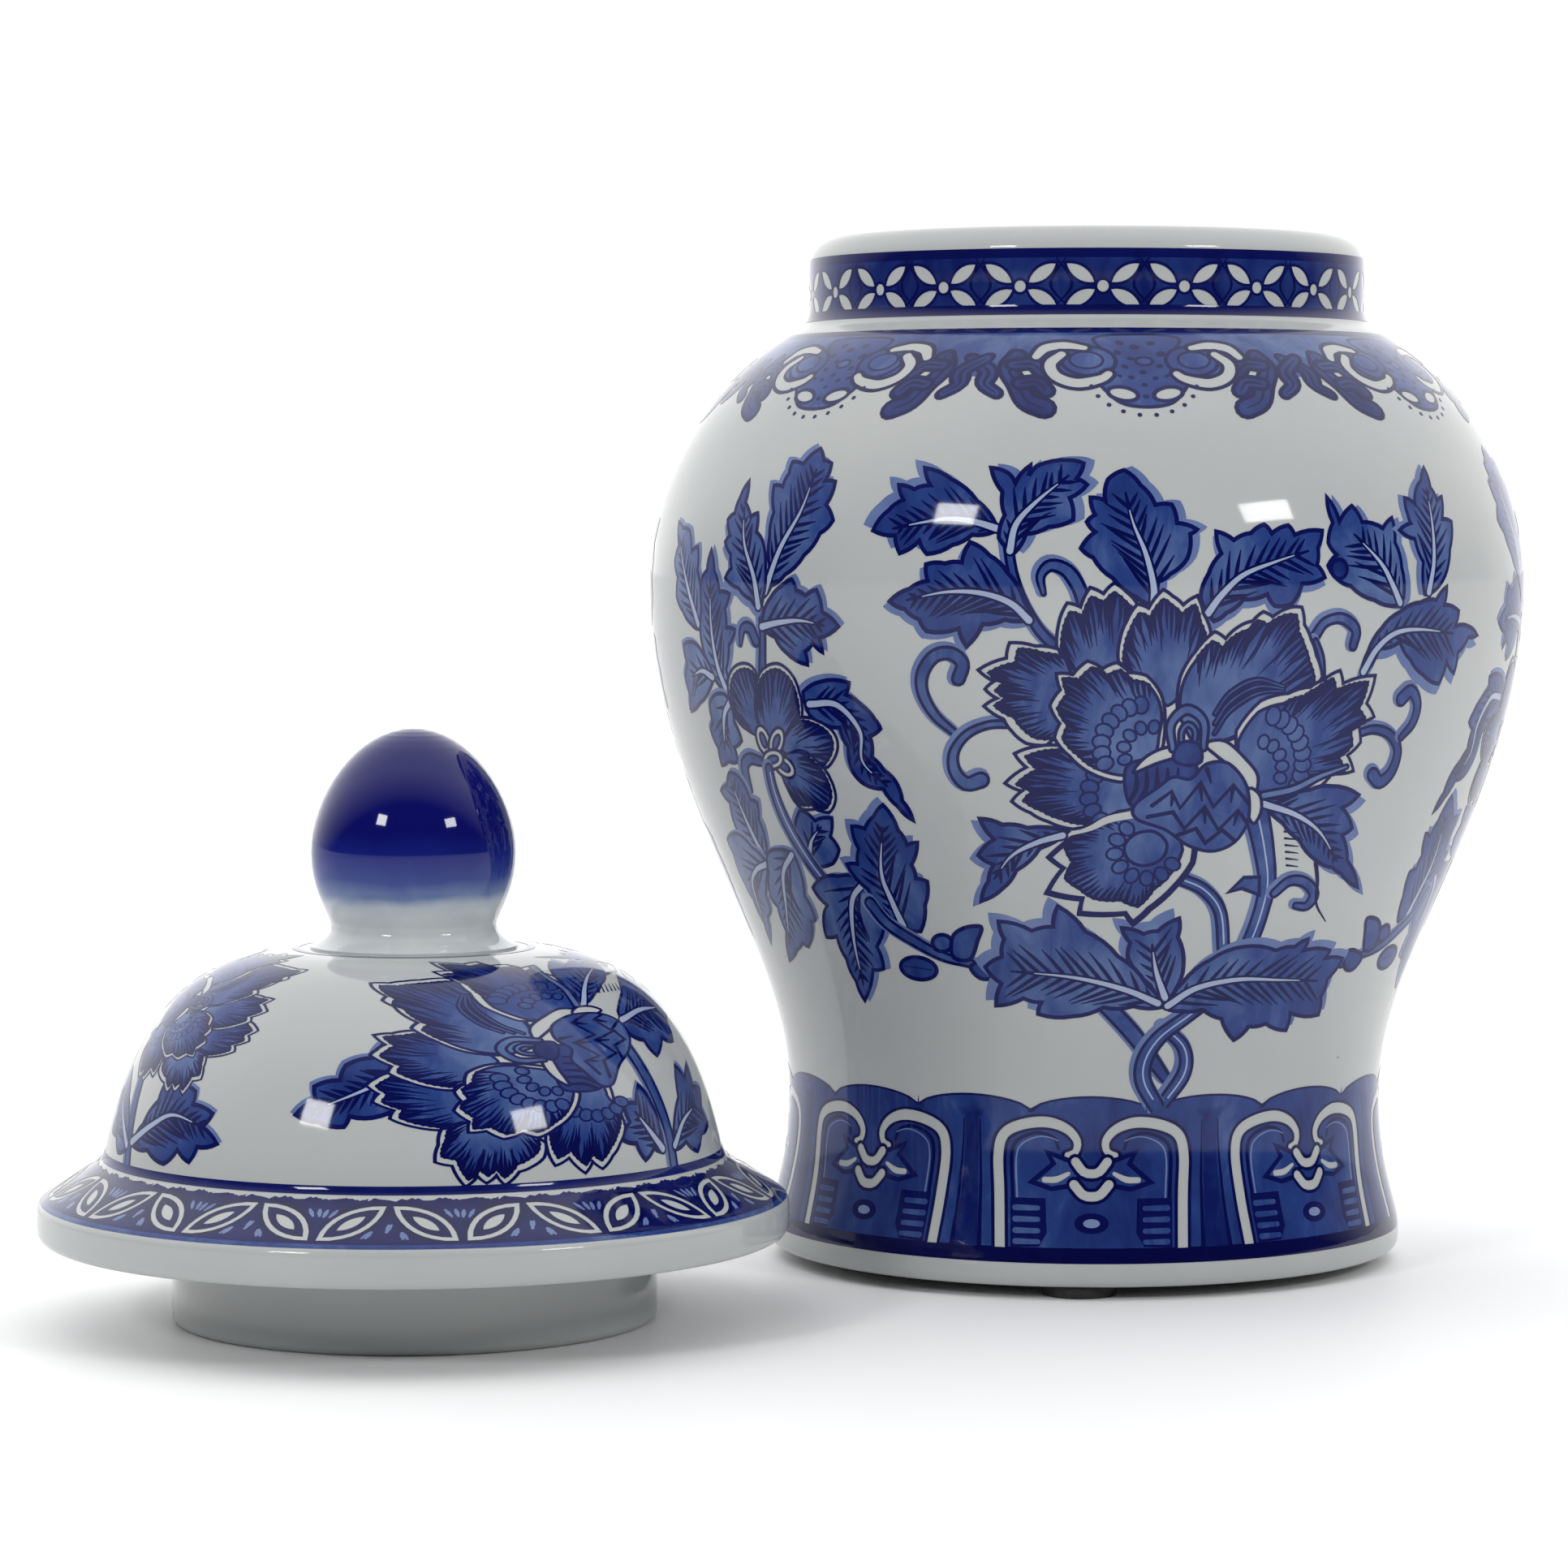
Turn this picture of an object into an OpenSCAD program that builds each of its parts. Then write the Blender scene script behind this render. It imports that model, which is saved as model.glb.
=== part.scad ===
// A glazed porcelain ginger jar, open, with its domed lid set down on the table beside it.
// The z axis is the jar's own axis, z = 0 is the table top, and the jar's front faces -y.
// Every outline is half of a section, drawn as [radius, height], and turned about its axis.

/* [Jar body] */
// Radius of the belly at its widest
belly_r = 92; // [78:0.5:112]
// Height of the belly's widest line above the table
belly_z = 144; // [116:0.5:172]
// Radius of the waist, the narrow place above the foot
waist_r = 62.5; // [54:0.5:75]
// Height of the waist above the table
waist_z = 35; // [30:0.5:42]
// Height from the belly's widest line to the bottom of the neck
shoulder_h = 56.2; // [46:0.2:68]
// Slope of the shoulder where it meets the neck, in degrees
shoulder_slope = 29; // [22:1:36]
// Thickness of the belly wall
body_wall = 5.5; // [4:0.1:7]
// Thickness of the floor
floor_t = 8; // [6:0.5:10]

/* [Jar neck] */
// Radius of the mouth's straight bore
mouth_r = 51; // [42:0.2:61.2]
// Thickness of the neck wall
neck_wall = 7.4; // [6:0.1:9.2]
// Height of the neck, from its fillet to the crest of the lip
neck_h = 15.2; // [12:0.2:20]
// Radius of the concave fillet where the neck leaves the shoulder
neck_fillet = 5; // [3:0.5:7]
// Radius of the lip's outer rounding
lip_round = 5.6; // [4:0.1:5.8]

/* [Jar foot] */
// Radius of the foot at its widest
foot_r = 66.8; // [60:0.2:79]
// Width of the flat ring that the foot stands on
foot_ring_w = 10.8; // [8:0.2:13]
// Depth of the recess under the floor
recess_h = 5; // [3:0.5:7]
// Radius of the rounding at the foot's outer edge
foot_round = 2.2; // [1:0.1:3]

/* [Foot pads] */
// Diameter of one pad
pad_d = 15; // [10:0.5:18]
// Thickness of one pad
pad_t = 2.5; // [1.5:0.1:4]
// Direction of the first pad seen from above, in degrees from +x
pad_bearing = -94; // [-180:1:180]

/* [Lid collar] */
// Gap between the lid's collar and the mouth, all round
collar_gap = 3.4; // [1.5:0.1:6]
// Thickness of the collar wall
collar_wall = 5; // [4:0.1:7]
// Height of the collar below the flange
collar_h = 16.5; // [12:0.1:20]
// Radius of the rounding at the collar's two lower edges
collar_round = 1.8; // [1:0.1:2]

/* [Lid flange and dome] */
// Radius of the flange
flange_r = 73.6; // [66:0.2:88]
// Height of the straight band on the flange's rim
rim_band = 3.6; // [1:0.1:4]
// Radius of the roundings above and below that band
rim_round = 2.4; // [1.5:0.1:3]
// Slope of the flange's top, in degrees
flange_slope = 33; // [26:1:40]
// Radius of the dome where it leaves the flange
dome_r = 60.4; // [56:0.1:62]
// Inward lean of the dome where it leaves the flange, in degrees
dome_lean = 12; // [4:1:16]
// Height of the dome's crown above the collar's lower edge
dome_z = 73; // [60:0.1:88]
// Thickness of the dome wall
dome_wall = 5; // [4:0.1:6]
// Radius of the concave fillet between flange and dome
dome_fillet = 4; // [3:0.5:5]

/* [Lid knob] */
// Radius of the knob's foot, luted to the crown
knob_foot_r = 20.4; // [17:0.1:24.5]
// Radius of the knob's neck
knob_neck_r = 16.2; // [13:0.1:17]
// Radius of the knob's bulb at its widest
knob_r = 20; // [17.5:0.1:24]
// Height from the knob's foot to its widest line
knob_wide_h = 18.5; // [16:0.1:23]
// Height from the knob's foot to its tip
knob_h = 42.8; // [35:0.2:51]

/* [Lid place] */
// Clear gap, seen from above, between the jar's foot and the flange of the lid beside it
lid_gap = 20.2; // [14:0.5:40]
// Direction from the jar to the lid, in degrees from +x
lid_bearing = 212; // [190:0.2:240]

/* [Hidden] */
$fn = 180;

pad_count = 3;
neck_r = mouth_r + neck_wall;
neck_z = belly_z + shoulder_h;
lip_z = neck_z + neck_h;
lip_inner_round = neck_wall - lip_round;
foot_wide_z = pad_t + 4;
foot_flat_r = foot_r - foot_round;
recess_z = pad_t + recess_h;
floor_z = recess_z + floor_t;
floor_round = 9;
recess_lean = 3;

collar_r = mouth_r - collar_gap;
collar_in_r = collar_r - collar_wall;
rim_top_z = collar_h + rim_round + rim_band;
flange_fillet = 1.2;
lid_away = foot_r + flange_r + lid_gap;
lid_at = lid_away * [cos(lid_bearing), sin(lid_bearing)];

porcelain = [0.86, 0.89, 0.93];
cobalt = [0.12, 0.17, 0.5];
felt = [0.06, 0.06, 0.07];

// A unit vector at an angle in degrees
function heading(a) = [cos(a), sin(a)];

// Points of a circular arc
function arc(centre, r, from, to, steps = 6) =
    [for (i = [0:steps]) centre + r * heading(from + (to - from) * i / steps)];

// A cubic curve through p[0] and p[3], pulled towards p[1] and p[2]
function bezier(p, t) =
    pow(1 - t, 3) * p[0] + 3 * pow(1 - t, 2) * t * p[1] + 3 * (1 - t) * t * t * p[2] + pow(t, 3) * p[3];

function bezier_direction(p, t) =
    let (v = pow(1 - t, 2) * (p[1] - p[0]) + 2 * (1 - t) * t * (p[2] - p[1]) + t * t * (p[3] - p[2]))
    v / norm(v);

// The curve, or a parallel to it, inset to the left of its direction
function curve(p, steps, inset = 0) =
    [for (i = [0:steps])
        let (t = i / steps, v = bezier_direction(p, t))
        bezier(p, t) + inset * [-v[1], v[0]]];

function reversed(points) = [for (i = [len(points) - 1:-1:0]) points[i]];

// The neck's fillet lies in the air, touching the neck wall and the end of the shoulder
neck_fillet_centre = [neck_r + neck_fillet, neck_z];
shoulder_end = neck_fillet_centre - neck_fillet * [sin(shoulder_slope), cos(shoulder_slope)];

foot_rise = [
    [foot_r, foot_wide_z],
    [foot_r, foot_wide_z + 5.3],
    [waist_r, waist_z - 16.3],
    [waist_r, waist_z]
];
belly_rise = [
    [waist_r, waist_z],
    [waist_r, waist_z + 31.7],
    [belly_r, belly_z - 47.6],
    [belly_r, belly_z]
];
shoulder_rise = [
    [belly_r, belly_z],
    [belly_r, belly_z + 21.4],
    shoulder_end + 20.4 * [cos(shoulder_slope), -sin(shoulder_slope)],
    shoulder_end
];

// The shoulder's inside runs on at the same slope until it meets the mouth's bore
shoulder_inside = curve(shoulder_rise, 16, body_wall);
inside_end = shoulder_inside[len(shoulder_inside) - 1];
bore_foot_z = inside_end[1] + (inside_end[0] - mouth_r) * tan(shoulder_slope);

module turned(outline) {
    rotate_extrude() polygon(outline);
}

module jar_body() {
    outside = concat(
        arc([foot_flat_r, pad_t + foot_round], foot_round, -90, 0),
        curve(foot_rise, 10),
        curve(belly_rise, 22),
        curve(shoulder_rise, 22),
        reversed(arc(neck_fillet_centre, neck_fillet, 180, 270 - shoulder_slope)),
        arc([neck_r - lip_round, lip_z - lip_round], lip_round, 0, 90, 8)
    );
    inside = concat(
        arc([mouth_r + lip_inner_round, lip_z - lip_inner_round], lip_inner_round, 90, 180, 4),
        [[mouth_r, bore_foot_z]],
        reversed(shoulder_inside),
        reversed(curve(belly_rise, 16, body_wall)),
        arc([waist_r - body_wall - floor_round, floor_z + floor_round], floor_round, 0, -90),
        [[0, floor_z]]
    );
    foot_ring_in_r = foot_flat_r - foot_ring_w;
    underside = [
        [0, recess_z],
        [foot_ring_in_r - recess_lean, recess_z],
        [foot_ring_in_r, pad_t]
    ];
    color(porcelain) turned(concat(outside, inside, underside));
}

module foot_pad(index) {
    bearing = pad_bearing + index * 360 / pad_count;
    color(felt)
        rotate([0, 0, bearing])
        translate([foot_flat_r - pad_d / 2, 0, 0])
        cylinder(d = pad_d, h = pad_t);
}

// The upper rounding of the rim runs straight on into the flange's slope
rim_centre = [flange_r - rim_round, rim_top_z];
slope_start = rim_centre + rim_round * heading(90 - flange_slope);
dome_fillet_r = dome_r + dome_fillet * cos(dome_lean);
dome_fillet_z = slope_start[1]
    + (dome_fillet - sin(flange_slope) * (dome_fillet_r - slope_start[0])) / cos(flange_slope);
dome_fillet_centre = [dome_fillet_r, dome_fillet_z];
dome_start = dome_fillet_centre + dome_fillet * heading(180 + dome_lean);

dome_rise = [
    dome_start,
    dome_start + 20 * heading(90 + dome_lean),
    [knob_foot_r + 27, dome_z],
    [knob_foot_r, dome_z]
];

module lid_outline() {
    outside = concat(
        arc([collar_r - collar_round, collar_round], collar_round, -90, 0),
        reversed(arc([collar_r + flange_fillet, collar_h - flange_fillet], flange_fillet, 90, 180, 4)),
        arc([flange_r - rim_round, collar_h + rim_round], rim_round, -90, 0),
        arc(rim_centre, rim_round, 0, 90 - flange_slope),
        reversed(arc(dome_fillet_centre, dome_fillet, 180 + dome_lean, 270 - flange_slope)),
        curve(dome_rise, 24),
        [[0, dome_z]]
    );
    inside = concat(
        [[0, dome_z - dome_wall]],
        reversed(curve(dome_rise, 16, dome_wall)),
        [[collar_in_r, collar_h + dome_wall]],
        arc([collar_in_r + collar_round, collar_round], collar_round, 180, 270)
    );
    polygon(concat(outside, inside));
}

module lid_shell() {
    color(porcelain)
        translate(lid_at)
        rotate_extrude() lid_outline();
}

module lid_knob() {
    foot_edge = 0.4;
    neck_at = 4.4;
    outline = concat(
        [[0, 0], [knob_foot_r, 0]],
        curve([
            [knob_foot_r, foot_edge],
            [knob_foot_r - 2.4, foot_edge + 0.8],
            [knob_neck_r, neck_at - 1.8],
            [knob_neck_r, neck_at]
        ], 6),
        curve([
            [knob_neck_r, neck_at],
            [knob_neck_r, neck_at + 2],
            [knob_r, knob_wide_h - 7.8],
            [knob_r, knob_wide_h]
        ], 10),
        curve([
            [knob_r, knob_wide_h],
            [knob_r, knob_wide_h + 11],
            [knob_r * 0.56, knob_h],
            [0, knob_h]
        ], 16)
    );
    color(cobalt)
        translate([lid_at[0], lid_at[1], dome_z])
        turned(outline);
}

jar_body();
foot_pad(0);  // foot_pad_1
foot_pad(1);  // foot_pad_2
foot_pad(2);  // foot_pad_3
lid_shell();
lid_knob();
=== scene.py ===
"""Looks for a blue and white porcelain ginger jar that stands open, with its lid set down beside it.

The porcelain is turned again, finer, from the outlines of the CAD pieces. The underglaze painting is drawn flat, in
millimetres, cut into one clean sheet for each pigment, laid on the glaze and repeated round the axis.
"""
import logging
import math
from dataclasses import dataclass, field
from enum import Enum
from typing import Iterable, Optional, Sequence

import bmesh
import bpy
import numpy as np
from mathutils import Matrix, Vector
from mathutils.geometry import delaunay_2d_cdt


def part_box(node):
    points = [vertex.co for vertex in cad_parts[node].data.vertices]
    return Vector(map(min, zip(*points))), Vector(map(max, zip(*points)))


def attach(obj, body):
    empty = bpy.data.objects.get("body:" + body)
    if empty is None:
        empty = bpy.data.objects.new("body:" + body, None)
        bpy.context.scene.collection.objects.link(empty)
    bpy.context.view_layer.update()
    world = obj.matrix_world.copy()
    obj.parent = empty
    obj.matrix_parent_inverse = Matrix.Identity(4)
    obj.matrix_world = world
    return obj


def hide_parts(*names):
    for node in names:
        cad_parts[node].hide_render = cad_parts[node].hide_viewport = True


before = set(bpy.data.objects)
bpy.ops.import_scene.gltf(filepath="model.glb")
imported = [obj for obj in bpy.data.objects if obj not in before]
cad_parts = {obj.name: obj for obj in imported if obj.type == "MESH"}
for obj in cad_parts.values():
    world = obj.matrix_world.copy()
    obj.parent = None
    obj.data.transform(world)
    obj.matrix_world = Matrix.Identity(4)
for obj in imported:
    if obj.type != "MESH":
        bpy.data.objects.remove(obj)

log = logging.getLogger("ginger_jar")
logging.basicConfig(level=logging.INFO, format="%(name)s: %(message)s")

MM = 0.001
TAU = 2 * math.pi

Point = tuple[float, float]
Path = Sequence[Point]


class Ink(Enum):
    """What a drawn shape leaves on the porcelain."""

    BARE = "bare"
    FRINGE = "fringe"
    WASH = "wash"
    LINE = "line"


# ---------------------------------------------------------------------------------------------------------------
# Finishes
# ---------------------------------------------------------------------------------------------------------------


class NodeMaker:
    """Short calls for building one material's nodes."""

    def __init__(self, name: str) -> None:
        """Start an empty material with its output and shader."""
        self.material = bpy.data.materials.new(name)
        self.material.use_nodes = True
        self.tree = self.material.node_tree
        self.shader = self.tree.nodes["Principled BSDF"]
        self.place = self.add("ShaderNodeTexCoord").outputs["Object"]

    def add(self, kind: str, **values: object) -> bpy.types.Node:
        """Add a node.

        Args:
            kind: the node's type.
            values: attributes of the node, or input values where a name isn't an attribute.

        Returns:
            The new node.
        """
        node = self.tree.nodes.new(kind)
        for name, value in values.items():
            if hasattr(node, name):
                setattr(node, name, value)
            else:
                node.inputs[name.replace("_", " ")].default_value = value
        return node

    def link(self, source: bpy.types.NodeSocket, target: bpy.types.NodeSocket) -> None:
        """Join two sockets."""
        self.tree.links.new(source, target)

    def noise(self, scale: float, detail: float = 3.0, roughness: float = 0.5, distortion: float = 0.0,
              stretch: tuple[float, float, float] = (1, 1, 1)) -> bpy.types.NodeSocket:
        """Noise on object coordinates.

        Args:
            scale: features per metre.
            detail: octaves.
            roughness: weight of the finer octaves.
            distortion: how far the pattern swirls.
            stretch: scale along each axis.

        Returns:
            The factor output.
        """
        mapping = self.add("ShaderNodeMapping", Scale=stretch)
        self.link(self.place, mapping.inputs["Vector"])
        node = self.add("ShaderNodeTexNoise", Scale=scale, Detail=detail, Roughness=roughness, Distortion=distortion)
        self.link(mapping.outputs["Vector"], node.inputs["Vector"])
        return node.outputs["Fac"]

    def ramp(self, factor: bpy.types.NodeSocket, stops: Sequence[tuple[float, tuple[float, float, float]]]
             ) -> bpy.types.NodeSocket:
        """Colour ramp.

        Args:
            factor: what drives it.
            stops: position and colour of each stop.

        Returns:
            The colour output.
        """
        node = self.add("ShaderNodeValToRGB")
        elements = node.color_ramp.elements
        while len(elements) < len(stops):
            elements.new(0.5)
        for element, (position, colour) in zip(elements, stops):
            element.position = position
            element.color = (*colour, 1)
        self.link(factor, node.inputs["Fac"])
        return node.outputs["Color"]

    def blend(self, factor: bpy.types.NodeSocket | float, a: bpy.types.NodeSocket, b: bpy.types.NodeSocket,
              mode: str = "MIX") -> bpy.types.NodeSocket:
        """Mix two colours.

        Args:
            factor: a socket or a number.
            a: first colour.
            b: second colour.
            mode: blend mode.

        Returns:
            The mixed colour.
        """
        node = self.add("ShaderNodeMix", data_type="RGBA", blend_type=mode)
        if isinstance(factor, float):
            node.inputs[0].default_value = factor
        else:
            self.link(factor, node.inputs[0])
        self.link(a, node.inputs[6])
        self.link(b, node.inputs[7])
        return node.outputs[2]

    def math(self, operation: str, a: bpy.types.NodeSocket, b: bpy.types.NodeSocket | float = 0.0
             ) -> bpy.types.NodeSocket:
        """Maths on one or two values.

        Args:
            operation: the operation's name.
            a: first value.
            b: second value, a socket or a number.

        Returns:
            The result.
        """
        node = self.add("ShaderNodeMath", operation=operation)
        self.link(a, node.inputs[0])
        if isinstance(b, (int, float)):
            node.inputs[1].default_value = b
        else:
            self.link(b, node.inputs[1])
        return node.outputs[0]

    def bump(self, height: bpy.types.NodeSocket, strength: float, distance: float) -> None:
        """Drive the shader's normal from a height.

        Args:
            height: the height.
            strength: how strong the effect is.
            distance: the height of 1, in metres.
        """
        node = self.add("ShaderNodeBump", Strength=strength, Distance=distance)
        self.link(height, node.inputs["Height"])
        self.link(node.outputs["Normal"], self.shader.inputs["Normal"])

    def gloss(self, roughness: float, ior: float = 1.5, coat: float = 0.0) -> None:
        """Set the constants of a glossy surface.

        Args:
            roughness: the surface's roughness.
            ior: refractive index.
            coat: weight of the clear coat.
        """
        self.shader.inputs["Roughness"].default_value = roughness
        self.shader.inputs["IOR"].default_value = ior
        self.shader.inputs["Coat Weight"].default_value = coat
        self.shader.inputs["Coat Roughness"].default_value = 0.03


@dataclass(frozen=True)
class ClearGlaze:
    """White porcelain under a clear glossy glaze, with faint pooling and a few iron specks."""

    name: str = "white_glaze"
    thin: tuple[float, float, float] = (0.49, 0.505, 0.50)
    thick: tuple[float, float, float] = (0.44, 0.46, 0.46)
    speck: tuple[float, float, float] = (0.16, 0.15, 0.16)

    def material(self) -> bpy.types.Material:
        """Build the glaze's material."""
        m = NodeMaker(self.name)
        pooled = m.ramp(m.noise(18, 4, 0.55), [(0.3, self.thin), (0.75, self.thick)])
        specks = m.add("ShaderNodeTexVoronoi", Scale=140.0, Randomness=1.0)
        m.link(m.place, specks.inputs["Vector"])
        near = m.math("LESS_THAN", specks.outputs["Distance"], 0.055)
        rare = m.math("GREATER_THAN", m.noise(60, 1), 0.68)
        white = m.add("ShaderNodeRGB")
        white.outputs[0].default_value = (*self.speck, 1)
        colour = m.blend(m.math("MULTIPLY", near, rare), pooled, white.outputs[0])
        m.link(colour, m.shader.inputs["Base Color"])
        m.bump(m.noise(34, 2), 0.10, 0.0006)
        m.gloss(0.06, 1.36)
        return m.material


@dataclass(frozen=True)
class BiscuitAndShade:
    """The thinly glazed collar that a lid stands on: greyer, less glossy and slightly warm. Its darker grey is partly
    the bare body's own colour and partly painted shade from the flange above.
    """

    name: str = "biscuit_and_painted_shade"

    def material(self) -> bpy.types.Material:
        """Build the material for the bare collar and its painted shade."""
        m = NodeMaker(self.name)
        colour = m.ramp(m.noise(420, 6, 0.7), [(0.3, (0.25, 0.25, 0.235)), (0.7, (0.31, 0.31, 0.29))])
        m.link(colour, m.shader.inputs["Base Color"])
        m.bump(m.noise(1600, 5, 0.7), 0.2, 0.0002)
        m.gloss(0.42)
        return m.material


@dataclass(frozen=True)
class Pigment:
    """Cobalt painted under the glaze. The attribute `tone` runs from watery at 0 to strong at 1."""

    name: str
    watery: tuple[float, float, float]
    middle: tuple[float, float, float]
    strong: tuple[float, float, float]
    brush: float = 0.35

    def material(self) -> bpy.types.Material:
        """Build the pigment's material."""
        m = NodeMaker(self.name)
        tone = m.add("ShaderNodeAttribute", attribute_name="tone").outputs["Fac"]
        strokes = m.noise(150, 4, 0.6, 0.6, (1, 1, 0.45))
        pools = m.noise(38, 3, 0.55, 0.3)
        wander = m.math("MULTIPLY", m.math("SUBTRACT", m.math("ADD", strokes, pools), 1.0), self.brush * 2)
        amount = m.math("ADD", tone, wander)
        colour = m.ramp(amount, [(0.0, self.watery), (0.5, self.middle), (1.0, self.strong)])
        m.link(colour, m.shader.inputs["Base Color"])
        m.bump(m.noise(34, 2), 0.10, 0.0006)
        m.gloss(0.06, 1.36)
        return m.material


@dataclass(frozen=True)
class KnobGlaze:
    """Cobalt poured over the knob, fading to white near its neck along a slightly wavy edge.

    The heights are above the table, in metres.
    """

    white_below: float
    blue_above: float
    name: str = "knob_cobalt"

    def material(self) -> bpy.types.Material:
        """Build the knob's material."""
        m = NodeMaker(self.name)
        split = m.add("ShaderNodeSeparateXYZ")
        m.link(m.place, split.inputs[0])
        wave = m.math("MULTIPLY", m.math("SUBTRACT", m.noise(70, 3, 0.5, 0.4), 0.5), 0.0035)
        height = m.math("ADD", split.outputs["Z"], wave)
        span = m.add("ShaderNodeMapRange", From_Min=self.white_below, From_Max=self.blue_above)
        m.link(height, span.inputs["Value"])
        colour = m.ramp(span.outputs[0], [
            (0.0, (0.66, 0.70, 0.70)), (0.10, (0.54, 0.60, 0.66)), (0.22, (0.17, 0.24, 0.43)),
            (0.42, (0.036, 0.066, 0.29)), (0.70, (0.008, 0.016, 0.20)), (1.0, (0.003, 0.004, 0.125))])
        cloud = m.ramp(m.noise(55, 4, 0.6), [(0.3, (0.82, 0.82, 0.86)), (0.7, (1.0, 1.0, 1.0))])
        m.link(m.blend(1.0, colour, cloud, "MULTIPLY"), m.shader.inputs["Base Color"])
        m.bump(m.noise(60, 2), 0.10, 0.0005)
        m.gloss(0.05, 1.38)
        return m.material


@dataclass(frozen=True)
class PadRubber:
    """Black cellular rubber with a fine grain."""

    name: str = "pad_rubber"

    def material(self) -> bpy.types.Material:
        """Build the rubber's material."""
        m = NodeMaker(self.name)
        colour = m.ramp(m.noise(900, 4, 0.6), [(0.3, (0.010, 0.010, 0.011)), (0.7, (0.028, 0.028, 0.030))])
        m.link(colour, m.shader.inputs["Base Color"])
        m.bump(m.noise(2600, 3, 0.6), 0.5, 0.00012)
        m.gloss(0.62)
        return m.material


@dataclass(frozen=True)
class Tabletop:
    """The plain pale surface that everything stands on."""

    name: str = "pale_tabletop"

    def material(self) -> bpy.types.Material:
        """Build the tabletop's material."""
        m = NodeMaker(self.name)
        colour = m.ramp(m.noise(6, 3), [(0.3, (0.935, 0.935, 0.94)), (0.7, (0.95, 0.95, 0.95))])
        m.link(colour, m.shader.inputs["Base Color"])
        m.gloss(0.55, 1.4)
        return m.material


# ---------------------------------------------------------------------------------------------------------------
# Turned shapes
# ---------------------------------------------------------------------------------------------------------------


def outline_of(node: str, centre: Point) -> np.ndarray:
    """Read the half section of a turned CAD piece.

    Args:
        node: the CAD node.
        centre: where its axis stands, in metres.

    Returns:
        Radius and height of each ring in order along the outline, in metres.
    """
    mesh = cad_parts[node].data
    points = np.empty(len(mesh.vertices) * 3, np.float32)
    mesh.vertices.foreach_get("co", points)
    points = points.reshape(-1, 3).astype(float)
    radius = np.hypot(points[:, 0] - centre[0], points[:, 1] - centre[1])
    places = np.zeros((0, 2))
    ring_of = []
    for place in np.column_stack((radius, points[:, 2])):
        gaps = np.hypot(*(places - place).T)
        if not len(gaps) or gaps.min() > 0.05 * MM:
            places = np.vstack((places, place))
            gaps = np.append(gaps, 0.0)
        ring_of.append(int(gaps.argmin()))
    neighbours: dict[int, set[int]] = {i: set() for i in range(len(places))}
    mesh.calc_loop_triangles()
    for triangle in mesh.loop_triangles:
        a, b, c = (ring_of[v] for v in triangle.vertices)
        for i, j in ((a, b), (b, c), (c, a)):
            if i != j:
                neighbours[i].add(j)
                neighbours[j].add(i)
    ends = [i for i, near in neighbours.items() if len(near) == 1]
    start = max(ends, key=lambda i: (places[i][0] > 1e-5, -places[i][1])) if len(ends) == 2 else 0
    order, seen = [start], {start}
    while True:
        onward = [j for j in neighbours[order[-1]] if j not in seen]
        if not onward:
            break
        order.append(onward[0])
        seen.add(onward[0])
    path = places[order]
    first = [(0.0, path[0, 1])] if path[0, 0] > 0.05 * MM else []
    last = [(0.0, path[-1, 1])] if path[-1, 0] > 0.05 * MM else []
    return np.array([*first, *path, *last])


def smoothed(outline: np.ndarray, corner: float = 26.0, step: float = 0.0022, bend: float = 3.5) -> np.ndarray:
    """Run a smooth curve through an outline's points, keeping its corners.

    Args:
        outline: radius and height of each point, in metres.
        corner: a turn of more than this many degrees stays sharp.
        step: longest spacing of the new points, in metres.
        bend: most degrees that the curve turns between two new points.

    Returns:
        The finer outline.
    """
    moves = np.diff(outline, axis=0)
    heading = np.degrees(np.arctan2(moves[:, 1], moves[:, 0]))
    turn = np.abs((np.diff(heading) + 180) % 360 - 180)
    length = np.hypot(*moves.T)
    tangents = np.zeros_like(outline)
    for i in range(1, len(outline) - 1):
        w = length[i] / (length[i - 1] + length[i])
        tangents[i] = w * moves[i - 1] / length[i - 1] + (1 - w) * moves[i] / length[i]
    result = [outline[0]]
    for i, move in enumerate(moves):
        straight = move / length[i]
        sharp_a = i == 0 or turn[i - 1] > corner
        sharp_b = i == len(moves) - 1 or turn[i] > corner
        a = straight if sharp_a else tangents[i] / np.hypot(*tangents[i])
        b = straight if sharp_b else tangents[i + 1] / np.hypot(*tangents[i + 1])
        bent = math.degrees(math.acos(max(-1.0, min(1.0, float(a @ b)))))
        steps = max(1, math.ceil(length[i] / step), math.ceil(bent / bend))
        for k in range(1, steps + 1):
            t = k / steps
            result.append((2 * t**3 - 3 * t**2 + 1) * outline[i] + (t**3 - 2 * t**2 + t) * length[i] * a
                          + (3 * t**2 - 2 * t**3) * outline[i + 1] + (t**3 - t**2) * length[i] * b)
    return np.array(result)


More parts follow.
